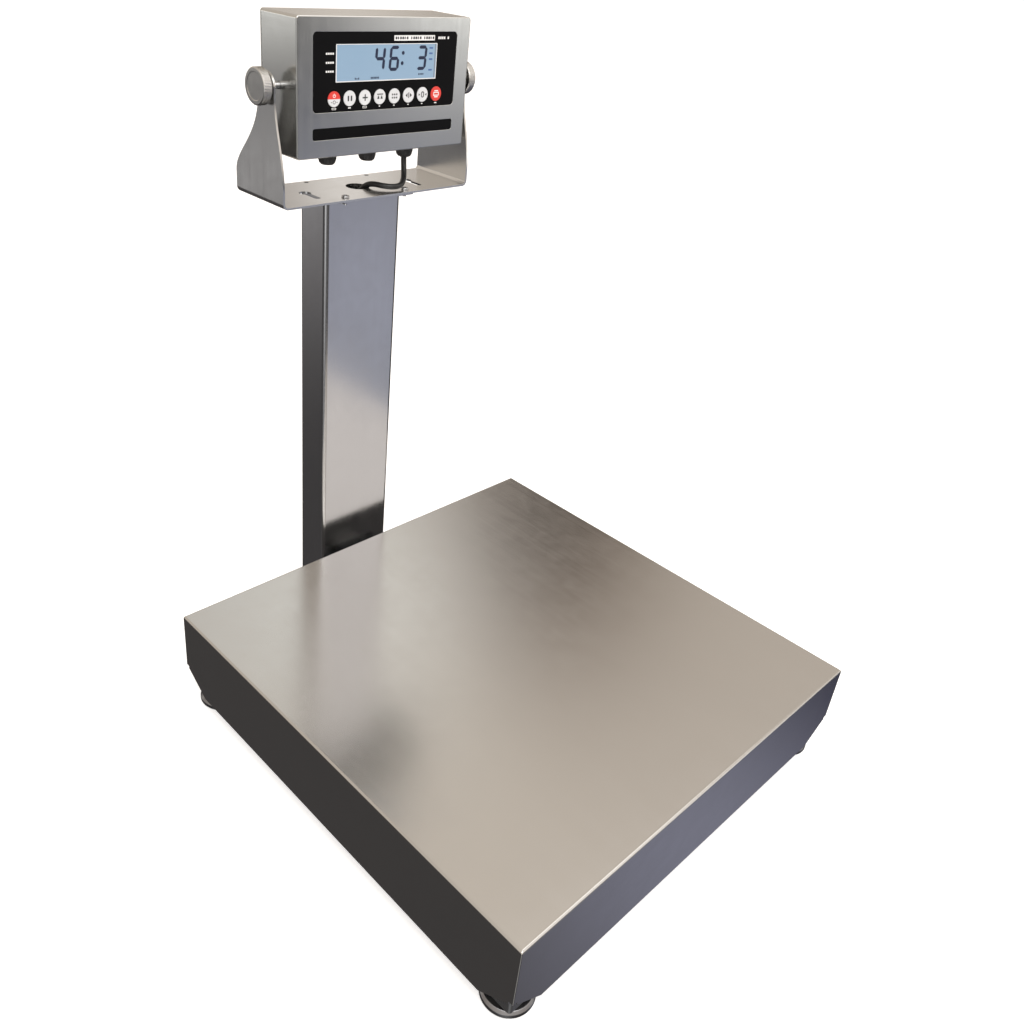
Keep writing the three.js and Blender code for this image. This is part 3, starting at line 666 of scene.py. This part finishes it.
def build_yoke():
    zt = 800.0
    uo = ([(-W, zt)] + arc(-W + 7, ZB + 7, 7, 180, 270, 10) + arc(W - 7, ZB + 7, 7, 270, 360, 10) + [(W, zt), (W - 2.5, zt)]
          + arc(W - 7, ZB + 7, 4.5, 360, 270, 10) + arc(-W + 7, ZB + 7, 4.5, 270, 180, 10) + [(-W + 2.5, zt)])
    u = prism(uo, 306, 404, "y")
    side = ([(306, 634.5), (404, 634.5)] + bezier((404, 666), (404, 690), (356, 712), (354, 757), 22) + arc(338, 770, 16, 0, 180, 24)
            + bezier((322, 757), (321, 725), (307, 700), (306, 660), 22))
    side = [p for k, p in enumerate(side) if k == 0 or math.dist(p, side[k - 1]) > 1e-3]
    tools = [("INTERSECT", prism(side, -W - 5, W + 5, "x")),
             ("DIFFERENCE", cyl(338, 770, 4.6, -W - 5, -W + 10, "x")), ("DIFFERENCE", cyl(338, 770, 4.6, W - 10, W + 5, "x")),
             ("DIFFERENCE", cyl(0, 355, 15, 630, 660, n=56))]
    for s in (-1, 1):
        slot = rrect(s * 80 - 4.2, s * 80 + 4.2, 326, 358, 4.0, 8)
        tools += [("DIFFERENCE", cyl(s * 80, 355, 7.5, 630, 660)), ("DIFFERENCE", prism(slot, 630, 660)),
                  ("DIFFERENCE", cyl(s * 48, 398, 3, 630, 650)), ("DIFFERENCE", cyl(s * 47, 318, 2.7, 630, 660))]
    return boolean(u, *tools)


piece("yoke_sheet", build_yoke(), "base", M_yoke_lit, "yoke_bracket", bevel=0.35, sharp=40)


def pan_screw(ax, c, s, r, h, shank, depth):
    """pan-head screw with a cross recess; s is the outward direction along ax"""
    dome = [(0, -depth), (shank * 0.8, -depth), (shank, -depth + 1)]
    k = 0
    z = -depth + 1
    while z < -0.4:
        z += 0.45
        k += 1
        dome.append((shank - (0.35 if k % 2 else 0.0), min(z, -0.1)))
    dome += [(shank, 0.3), (r, 0.3), (r, 0.3 + (h - 0.3) * 0.45)]
    for t in (20, 40, 60, 75, 90):
        a = math.radians(t)
        dome.append((r * 0.55 + r * 0.45 * math.cos(a), 0.3 + (h - 0.3) * (0.45 + 0.55 * math.sin(a))))
    dome.append((0, h))
    body = lathe(dome, 44, ax, c, s)
    w, l = r * 0.14, r * 0.6
    a, b = sorted((s * (h - 1.1), s * (h + 1)))
    i = "xyz".index(ax)
    a, b = a + c[i], b + c[i]
    u, v = [c[j] for j in range(3) if j != i]
    x1 = prism([(u - l, v - w), (u + l, v - w), (u + l, v + w), (u - l, v + w)], a, b, ax)
    x2 = prism([(u - w, v - l), (u + w, v - l), (u + w, v + l), (u - w, v + l)], a, b, ax)
    return cut(body, x1, x2)


for n, s in (("left", -1), ("right", 1)):
    piece("yoke_pan_screw_" + n, pan_screw("z", (s * 47, 318, YT), 1, 4.8, 2.6, 2.3, 9), "base", M_zinc, "yoke_screw_" + n, planar=False)

# ------------------------------------------------------------------ indicator casing
YF, YR, CZ, HW, HH = 303.0, 373.0, 770.0, 127.0, 75.0
PX, PZ0, PZ1 = 105.5, CZ - 25, CZ + 58.5
LX, LZ0, LZ1 = 75.0, CZ + 6, CZ + 46.5
BX, BZ0, BZ1 = 105.5, CZ - 54.8, CZ - 42.4


def rounded_block(y0, y1, r, edge, front=True, n=6):
    """block of the casing's outline whose front (or rear) edge is rounded by edge"""
    rows = []
    steps = [(edge * (1 - math.sin(math.radians(90 * k / n))), edge * (1 - math.cos(math.radians(90 * k / n)))) for k in range(n + 1)]
    for ins, dy in steps:
        rr = max(r - ins, 0.8)
        rows.append([(u, y0 + dy if front else y1 - dy, v) for u, v in rrect(-HW + ins, HW - ins, CZ - HH + ins, CZ + HH - ins, rr, 8)])
    rows.append([(u, y1 if front else y0, v) for u, v in rrect(-HW, HW, CZ - HH, CZ + HH, r, 8)])
    return stack(rows)


def build_casing():
    posts = [cyl(sx * 112, CZ + sz * 64, 4.5, YF + 1, YR - 2.5, "y", 24) for sx in (-1, 1) for sz in (-1, 1)]
    ops = [("DIFFERENCE", prism(rrect(-HW + 2, HW - 2, CZ - HH + 2, CZ + HH - 2, 1.6, 4), YF + 2, YR + 20, "y"))]
    ops += [("UNION", p) for p in posts]
    ops += [("DIFFERENCE", cyl(sx * 112, CZ + sz * 64, 2.4, YR - 20, YR + 5, "y", 20)) for sx in (-1, 1) for sz in (-1, 1)]
    ops += [("DIFFERENCE", prism(rrect(-PX - .3, PX + .3, PZ0 - .3, PZ1 + .3, 5, 8), YF - 5, YF + 5, "y")),
            ("DIFFERENCE", prism(rrect(-BX - .3, BX + .3, BZ0 - .3, BZ1 + .3, 2.5, 6), YF - 5, YF + 5, "y")),
            ("DIFFERENCE", cyl(338, CZ, 4.4, -HW - 5, -HW + 8, "x")), ("DIFFERENCE", cyl(338, CZ, 4.4, HW - 8, HW + 5, "x"))]
    ops += [("DIFFERENCE", cyl(x, 338, 8.3, CZ - HH - 5, CZ - HH + 5)) for x in (-60, 0, 60)]
    return boolean(rounded_block(YF, YR - 2.5, 3.5, 1.5), *ops)


piece("casing_shell", build_casing(), "indicator", M_casing, "casing_front", bevel=0.45, sharp=40)

rear = boolean(rounded_block(YR - 2.2, YR, 3.5, 1.2, front=False, n=4),
               ("UNION", cut(prism(rrect(-HW + 2.6, HW - 2.6, CZ - HH + 2.6, CZ + HH - 2.6, 1.4, 4), YR - 9, YR - 1.9, "y"), prism(rrect(-HW + 4.6, HW - 4.6, CZ - HH + 4.6, CZ + HH - 4.6, 1, 4), YR - 12, YR + 5, "y"))),
               *[("DIFFERENCE", cyl(sx * 112, CZ + sz * 64, 2.4, YR - 20, YR + 5, "y", 24)) for sx in (-1, 1) for sz in (-1, 1)],
               *[("DIFFERENCE", cyl(sx * 112, CZ + sz * 64, 5, YR - 20, YR - 2.2, "y", 24)) for sx in (-1, 1) for sz in (-1, 1)])
piece("casing_back_plate", rear, "indicator", M_casing, "casing_rear_cover", bevel=0.3)
for n, sx, sz in (("ul", -1, 1), ("ur", 1, 1), ("ll", -1, -1), ("lr", 1, -1)):
    piece("back_screw_" + n, pan_screw("y", (sx * 112, YR, CZ + sz * 64), 1, 4, 2.6, 2.0, 14), "indicator", M_zinc, "rear_screw_" + n, planar=False)

# keypad panel, window, strip
KEYX = [(i - 3.5) * 21.95 for i in range(8)]
panel = cut(prism(rrect(-PX, PX, PZ0, PZ1, 4.7, 8), YF + 0.4, YF + 2, "y"), prism(rrect(-LX, LX, LZ0, LZ1, 0.8, 3), YF - 5, YF + 5, "y"),
            *[cyl(x, 758.8, 8.8, YF - 5, YF + 5, "y", 56) for x in KEYX])
piece("panel_film", panel, "indicator", M_panel, "keypad_panel", bevel=0.15)
piece("strip_film", prism(rrect(-BX, BX, BZ0, BZ1, 2.2, 6), YF + 0.4, YF + 2, "y"), "indicator", M_panel, "lower_strip", bevel=0.25)
piece("window_pane", prism(rrect(-LX + .3, LX - .3, LZ0 + .3, LZ1 - .3, 0.6, 3), YF + 0.6, YF + 2.4, "y"), "indicator", M_display, "display_window", bevel=0.12)


def slab(u0, u1, v0, v1, y0, y1, r=0.0):
    return prism(rrect(u0, u1, v0, v1, r, 3) if r else [(u0, v0), (u1, v0), (u1, v1), (u0, v1)], y0, y1, "y")


# pale inner frame of the window, and the dark edge line on its right
bez = cut(slab(-LX + .35, LX - .35, LZ0 + .35, LZ1 - .35, YF + 0.42, YF + 0.66, 0.5), slab(-LX + 1.35, LX - 1.1, LZ0 + 1.3, LZ1 - 1.0, YF, YF + 3, 0.4))
piece("window_inner_frame", bez, "indicator", M_white)
piece("window_edge_line", slab(LX - 3.6, LX - 2.5, LZ0 + 1.5, LZ1 - 1.2, YF + 0.52, YF + 0.62), "indicator", M_grey)

SEG = {"a": (0, 1, 1, 1), "b": (1, 1, 1, .5), "c": (1, .5, 1, 0), "d": (0, 0, 1, 0), "e": (0, 0, 0, .5), "f": (0, .5, 0, 1), "g": (0, .5, 1, .5)}


def digit(x, z, w, h, t, on, y0, y1, lean=0.11):
    out = []
    for k in on:
        ax_, az, bx, bz = SEG[k]
        a, b = Vector((t / 2 + ax_ * (w - t), t / 2 + az * (h - t))), Vector((t / 2 + bx * (w - t), t / 2 + bz * (h - t)))
        d = (b - a).normalized()
        q = Vector((-d.y, d.x))
        a, b = a + d * 0.14, b - d * 0.14
        hx = [a, a + d * t / 2 + q * t / 2, b - d * t / 2 + q * t / 2, b, b - d * t / 2 - q * t / 2, a + d * t / 2 - q * t / 2]
        out.append(prism([(x + p.x + (p.y) * lean, z + p.y) for p in hx], y0, y1, "y"))
    return out


D0, D1 = YF + 0.50, YF + 0.62
shapes = digit(-20.8, 786.6, 15.0, 27.2, 3.6, "bcfg", D0, D1, 0.08) + digit(0.4, 786.6, 15.0, 27.2, 3.6, "acdefg", D0, D1, 0.08) + digit(42.6, 786.6, 15.0, 27.2, 3.6, "abcdg", D0, D1, 0.08)
shapes += [cyl(21.0, 794.8, 2.1, D0, D1, "y", 24), cyl(22.0, 806.0, 2.1, D0, D1, "y", 24)]
piece("display_digits", merged(*shapes), "indicator", M_digit)
small = [slab(-48 + 2.4 * k, -46.6 + 2.4 * k, 778.6, 780.6 - 0.5 * (k % 2), D0, D1) for k in range(3)]
small += [slab(-25 + 2.1 * k, -23.6 + 2.1 * k, 778.8, 780.9, D0, D1) for k in range(6)]
small += [slab(47 + 2.2 * k, 48.4 + 2.2 * k, 781.2, 783.0, D0, D1) for k in range(4)]
piece("display_marks", merged(*small), "indicator", M_digit)
small = [slab(62.5, 68.0, z, z + 1.9, D0, D1, 0.4) for z in (785.5, 797.5, 804.0, 810.0)]
piece("display_side_marks", merged(*small), "indicator", M_digit2)

# printed marks on the panel: plain bars and simple symbols
T0, T1 = YF + 0.33, YF + 0.42
marks = [slab(7.5, 70.0, 819.2, 825.0, T0 + 0.02, T1, 0.4)]
for z in (805.5, 796.2, 787.0):
    marks += [slab(-88.5 + 2.9 * k, -86.4 + 2.9 * k, z, z + 2.0, T0, T1) for k in range(4)]
marks += [slab(75.5 + 3.0 * k, 77.7 + 3.0 * k, 820.6, 823.4, T0, T1) for k in range(6) if k != 4]
for i, x in enumerate(KEYX):
    if i in (0, 2):
        marks.append(cut(slab(x - 3.0, x + 3.0, 747.2, 749.4, T0, T1, 0.6), slab(x - 2.4, x + 2.4, 747.7, 748.9, T0 - 1, T1 + 1, 0.3)))
    else:
        marks.append(slab(x - (2.0 if i in (1, 7) else 1.0), x + (2.0 if i in (1, 7) else 1.0), 747.8, 749.0, T0, T1, 0.3))
piece("panel_printed_marks", merged(*marks), "indicator", M_white)
dashes = [slab(9.4 + 3.35 * k, 11.9 + 3.35 * k - (0.8 if k % 3 == 1 else 0.0), 820.7, 823.5, T0 - 0.02, T0 + 0.04) for k in range(18) if k not in (6, 12)]
piece("panel_label_dashes", merged(*dashes), "indicator", M_keymark)

# display module and main board
dm = merged(slab(-LX - 4, LX + 4, LZ0 - 3, LZ1 + 3, YF + 2.7, YF + 9.3, 1.0), slab(-100, 100, CZ - 24, CZ + 57, YF + 9.4, YF + 11, 1.5))
piece("display_board", dm, "indicator", M_board, "display_module", bevel=0.2)
parts_b = [slab(-95, 95, CZ - 50, CZ + 50, YF + 40, YF + 41.6, 2.0)]
for x, z, w, h, d in ((-60, 20, 26, 26, 2.4), (-10, 30, 18, 12, 2.0), (30, 12, 14, 22, 3.0), (62, 30, 16, 16, 9.0), (-40, -28, 30, 9, 8.5), (20, -34, 44, 9, 9.5), (70, -20, 12, 18, 4.0)):
    parts_b.append(slab(x - w / 2, x + w / 2, CZ + z - h / 2, CZ + z + h / 2, YF + 40 - d, YF + 39.95, 0.8))
piece("main_circuit", merged(*parts_b), "indicator", M_board, "main_board", bevel=0.2)

# keys: domed film discs with a printed symbol
for i, x in enumerate(KEYX):
    prof = [(0, -8.4), (8.4, -8.4), (8.5, -8.2), (8.5, -0.35)] + [(8.0 + 0.5 * math.cos(math.radians(a)), -0.35 + 0.62 * math.sin(math.radians(a))) for a in (20, 45, 70)] + [(7.4, 0.27), (5.4, 0.2), (2.7, 0.15), (0, 0.14)]
    look = M_split if i == 0 else M_keyred if i == 7 else M_keygrey
    piece("key_cap_%d" % (i + 1), lathe(prof, 72, "y", (x, YF, 758.8), -1), "key_%d" % (i + 1), look, "key_%d" % (i + 1), planar=False, sharp=60)
    g0, g1 = YF - 0.24, YF - 0.10
    z = 758.8
    dark, light = [], []
    if i == 0:
        ringm = cut(cyl(x, z + 3.4, 2.0, g0, g1, "y", 30), cyl(x, z + 3.4, 1.35, g0 - 1, g1 + 1, "y", 30), slab(x - 0.8, x + 0.8, z + 3.6, z + 7, g0 - 1, g1 + 1))
        light += [ringm, slab(x - 0.35, x + 0.35, z + 3.6, z + 6.0, g0, g1)]
        dark += [cut(cyl(x, z - 3.4, 2.0, g0, g1, "y", 30), cyl(x, z - 3.4, 1.35, g0 - 1, g1 + 1, "y", 30)), slab(x + 3.0, x + 4.6, z - 3.8, z - 3.1, g0, g1), slab(x - 4.6, x - 3.0, z - 3.8, z - 3.1, g0, g1)]
    elif i == 1:
        dark += [slab(x - 2.6, x - 1.0, z - 2.4, z + 2.4, g0, g1, .3), slab(x + 1.0, x + 2.6, z - 2.4, z + 2.4, g0, g1, .3)]
    elif i == 2:
        dark += [slab(x - 3.0, x + 3.0, z - 0.6, z + 0.6, g0, g1, .2), slab(x - 0.6, x + 0.6, z + 0.6, z + 3.0, g0, g1), slab(x - 0.6, x + 0.6, z - 3.0, z - 0.6, g0, g1)]
    elif i == 3:
        dark += [prism([(x - 3.4, z - 1.8), (x - 0.6, z - 1.8), (x - 2.0, z + 1.6)], g0, g1, "y"), prism([(x + 0.6, z - 1.8), (x + 3.4, z - 1.8), (x + 2.0, z + 1.6)], g0, g1, "y"), slab(x - 3.6, x + 3.6, z + 2.0, z + 2.9, g0, g1)]
    elif i == 4:
        dark += [cyl(x + dx, z + dz, 0.85, g0, g1, "y", 20) for dx in (-2.6, 0, 2.6) for dz in (-1.5, 1.5)]
    elif i == 5:
        dark += [prism([(x - 4.0, z), (x - 1.6, z + 2.0), (x - 1.6, z - 2.0)], g0, g1, "y"), prism([(x + 4.0, z), (x + 1.6, z + 2.0), (x + 1.6, z - 2.0)], g0, g1, "y"), slab(x - 0.45, x + 0.45, z - 2.6, z + 2.6, g0, g1)]
    elif i == 6:
        dark += [cut(prism(rrect(x - 1.9, x + 1.9, z - 2.9, z + 2.9, 1.85, 8), g0, g1, "y"), prism(rrect(x - 1.0, x + 1.0, z - 2.0, z + 2.0, 0.95, 8), g0 - 1, g1 + 1, "y")), prism([(x - 5.2, z - 1.3), (x - 3.2, z), (x - 5.2, z + 1.3)], g0, g1, "y"), prism([(x + 5.2, z - 1.3), (x + 5.2, z + 1.3), (x + 3.2, z)], g0, g1, "y")]
    else:
        light += [cut(slab(x - 3.6, x + 3.6, z - 1.8, z + 1.8, g0, g1, .4), slab(x - 2.7, x + 2.7, z - 0.9, z + 0.9, g0 - 1, g1 + 1)), slab(x - 2.4, x + 2.4, z + 2.3, z + 3.4, g0, g1), slab(x - 2.4, x + 2.4, z - 3.4, z - 2.3, g0, g1)]
    dark, light = (merged(*dark) if dark else None), (merged(*light) if light else None)
    for me in (dark, light):
        for v in me.vertices if me and i else ():
            v.co.x, v.co.z = x + 1.22 * (v.co.x - x), z + 1.22 * (v.co.z - z)
    if dark:
        piece("key_symbol_%d" % (i + 1), dark, "key_%d" % (i + 1), M_keymark)
    if light:
        piece("key_light_symbol_%d" % (i + 1), light, "key_%d" % (i + 1), M_white)

# cable glands: flange, ribbed dome nut, seal lip
for n, x in (("left", -60), ("middle", 0), ("right", 60)):
    r0 = 3.7 if n == "right" else 0.0
    prof = [(r0, 8), (7.6, 8), (8, 7.6), (8, -0.3)] + fillet([(8, -0.3), (12.2, -0.3), (12.2, -5.3), (11.4, -5.9), (11.2, -6.6), (11.0, -10.0), (9.6, -14.2), (7.6, -16.4), (max(r0, 0.1) + 1.6, -16.4)], [0, .5, .7, .3, .4, 1.2, 1.2, 1.0, 0], 4)
    prof += [(r0 + 1.2, -15.9), (r0, -15.9)] if r0 else [(1.4, -15.9), (0, -15.7)]

    def ribs(r, h, t, top=-6.4, low=-13.6):
        if r < 8.5 or h > top or h < low:
            return r
        return r - 0.55 * (0.5 - 0.5 * math.cos(12 * t)) ** 0.6
    body = lathe(prof, 96, "z", (x, 338, CZ - HH), mod=ribs, ring=bool(r0))
    piece("gland_nut_" + n, body, "indicator", M_gland, "cable_gland_" + n, planar=False, sharp=50)
    if r0:
        seal = lathe(fillet([(3.55, -14.8), (5.9, -14.8), (5.9, -16.0), (5.0, -17.4), (3.7, -17.6)], 0.4) + [(3.55, -17.4)], 48, "z", (x, 338, CZ - HH), ring=True)
        piece("gland_seal_" + n, seal, "indicator", M_rubber, planar=False)

# pivot studs and clamping knobs
for n, s in (("left", -1), ("right", 1)):
    stud = [(0, HW - 7), (8, HW - 7), (8, HW - 2.3), (4, HW - 2.3), (4, 133)] + [(4 - (0.3 if k % 2 else 0), 133 + 0.5 * k) for k in range(1, 44)] + [(3.4, 155.5), (0, 155.5)]
    piece("tilt_stud_" + n, lathe(stud, 40, "x", (0, 338, CZ), s), "indicator", M_zinc, "pivot_stud_" + n, planar=False, sharp=50)
    look = turned("turned_knob_" + n, (0.57, 0.56, 0.54), 0.22, "x", m_(0, 338, CZ))
    kn = [(0, 156), (4.3, 156)] + fillet([(4.3, 156), (4.3, 145), (9, 145), (9, 147.2), (18.8, 147.2), (20, 148.4), (20, 157.0), (18.8, 158.2), (15.2, 158.2), (14.6, 157.8), (0, 157.8)], [0, .3, .5, .3, .4, .3, .3, .5, .3, .3, 0], 4)[1:]
    rows = []
    for p in kn:
        if rows and math.dist(p, rows[-1]) < 1e-4:
            continue
        rows.append(p)

    def knurl(r, h, t):
        return r - 0.32 * (0.5 - 0.5 * math.cos(84 * t)) if r > 19.6 else r
    piece("knob_turned_" + n, lathe(rows, 336, "x", (0, 338, CZ), s, mod=knurl), "knob_" + n, look, "clamp_knob_" + n, planar=False, sharp=50)


# ------------------------------------------------------------------ floor, world and lights
fl = bpy.data.meshes.new("floor")
fl.from_pydata([(-12, -12, 0), (12, -12, 0), (12, 12, 0), (-12, 12, 0)], [], [(0, 1, 2, 3)])
floor = bpy.data.objects.new("floor", fl)
coll.objects.link(floor)
F = Mat("pale_floor", Roughness=0.9, Base_Color=(0.86, 0.86, 0.86))
F.b.inputs["Emission Color"].default_value = (1, 1, 1, 1)
F.b.inputs["Emission Strength"].default_value = 0.55
fl.materials.append(F.m)
floor.visible_glossy = False

world = bpy.data.worlds.new("studio")
scene.world = world
world.use_nodes = True
wt = world.node_tree
for n in list(wt.nodes):
    wt.nodes.remove(n)


def wn(kind, inputs=None, **props):
    n = wt.nodes.new(kind)
    for k, v in props.items():
        setattr(n, k, v)
    for k, v in (inputs or {}).items():
        if isinstance(v, bpy.types.NodeSocket):
            wt.links.new(v, n.inputs[k])
        else:
            n.inputs[k].default_value = v
    return n


def direction(az, el):
    a, e = math.radians(az), math.radians(el)
    return Vector((math.cos(a) * math.cos(e), math.sin(a) * math.cos(e), math.sin(e)))


# soft studio surroundings: a floor-side and a ceiling-side level, and broad soft patches of light or shade (azimuth from +X, elevation, spread in degrees, colour)
UP, DOWN = (0.70, 0.62, 0.54), (0.066, 0.062, 0.062)
PATCHES = [
    (60, 38, 9, (0.10, 0.17, 0.22)),
    (49, 37, 7, (0.42, 0.45, 0.46)),
    (45, 50, 12, (0.16, 0.15, 0.13)),
    (38, 30, 6.5, (-0.85, -0.80, -0.72)),
    (36.5, 38, 5, (-0.34, -0.33, -0.30)),
    (52.4, 13, 3.0, (0.62, 0.66, 0.70)),
    (46, 12, 4, (-0.52, -0.47, -0.40)),
    (58, 15, 4, (-0.50, -0.44, -0.36)),
    (-52, 28, 13, (1.0, 1.0, 1.05)),
    (-51, -19, 11, (0.46, 0.48, 0.58)),
    (-52, -30, 6, (0.22, 0.22, 0.20)),
    (-24, -47, 12, (0.22, 0.23, 0.32)),
    (-14, -36, 7, (-0.12, -0.12, -0.12)),
    (-46.5, -2, 5, (2.1, 2.1, 2.05)),
    (-56, -7, 3.5, (-0.45, -0.45, -0.45)),
    (125.5, -15, 7, (0.24, 0.23, 0.23)),
    (123, -1, 5.5, (2.1, 2.1, 2.05)),
    (123.5, -8.3, 2.8, (-0.50, -0.50, -0.48)),
    (121.5, -13, 2.8, (0.55, 0.55, 0.55)),
    (-150, -8, 14, (1.1, 1.1, 1.1)),
    (-20, 10, 12, (0.9, 0.9, 0.88)),
    (-135, -50, 14, (0.55, 0.55, 0.55)),
    (-130, 40, 40, (0.55, 0.55, 0.55)),
]
d = wn("ShaderNodeTexCoord").outputs["Generated"]
d = wn("ShaderNodeVectorMath", {0: d}, operation="NORMALIZE").outputs[0]
z = wn("ShaderNodeSeparateXYZ", {0: d}).outputs[2]
s_up = wn("ShaderNodeMapRange", {"Value": z, "From Min": -0.08, "From Max": 0.10}, interpolation_type="SMOOTHSTEP").outputs[0]
mixer = wn("ShaderNodeMix", {0: s_up}, data_type="VECTOR")
mixer.inputs[4].default_value, mixer.inputs[5].default_value = DOWN, UP
total = mixer.outputs[1]
for az, el, spread, c in PATCHES:
    k = 1.0 / (1 - math.cos(math.radians(spread)))
    dot = wn("ShaderNodeVectorMath", {0: d, 1: direction(az, el)}, operation="DOT_PRODUCT").outputs["Value"]
    e = wn("ShaderNodeMath", {0: dot, 1: 1.0}, operation="SUBTRACT").outputs[0]
    e = wn("ShaderNodeMath", {0: e, 1: k}, operation="MULTIPLY").outputs[0]
    e = wn("ShaderNodeMath", {0: e}, operation="EXPONENT").outputs[0]
    sc = wn("ShaderNodeVectorMath", {0: Vector(c)}, operation="SCALE")
    wt.links.new(e, sc.inputs["Scale"])
    total = wn("ShaderNodeVectorMath", {0: total, 1: sc.outputs[0]}, operation="ADD").outputs[0]
total = wn("ShaderNodeVectorMath", {0: total, 1: Vector((0.015, 0.015, 0.015))}, operation="MAXIMUM").outputs[0]
bg = wn("ShaderNodeBackground", {"Color": total, "Strength": 1.0})
white = wn("ShaderNodeBackground", {"Color": (1, 1, 1, 1), "Strength": 1.05})
cam_ray = wn("ShaderNodeLightPath").outputs["Is Camera Ray"]
both = wn("ShaderNodeMixShader", {0: cam_ray, 1: bg.outputs[0], 2: white.outputs[0]})
wt.links.new(both.outputs[0], wn("ShaderNodeOutputWorld").inputs[0])


def area(name, az, el, dist, size, power, colour=(1, 1, 1), target=(0, 0, 0.35)):
    data = bpy.data.lights.new(name, "AREA")
    data.shape, data.size, data.size_y = "RECTANGLE", size[0], size[1]
    data.energy, data.color = power, colour
    ob = bpy.data.objects.new(name, data)
    coll.objects.link(ob)
    t = Vector(target)
    ob.location = t + direction(az, el) * dist
    ob.rotation_mode = "QUATERNION"
    ob.rotation_quaternion = (t - ob.location).to_track_quat("-Z", "Y")
    return ob


area("key_softbox", -120, 55, 3.0, (2.2, 2.2), 42)
area("fill_softbox", -20, 60, 3.4, (2.0, 2.0), 14)
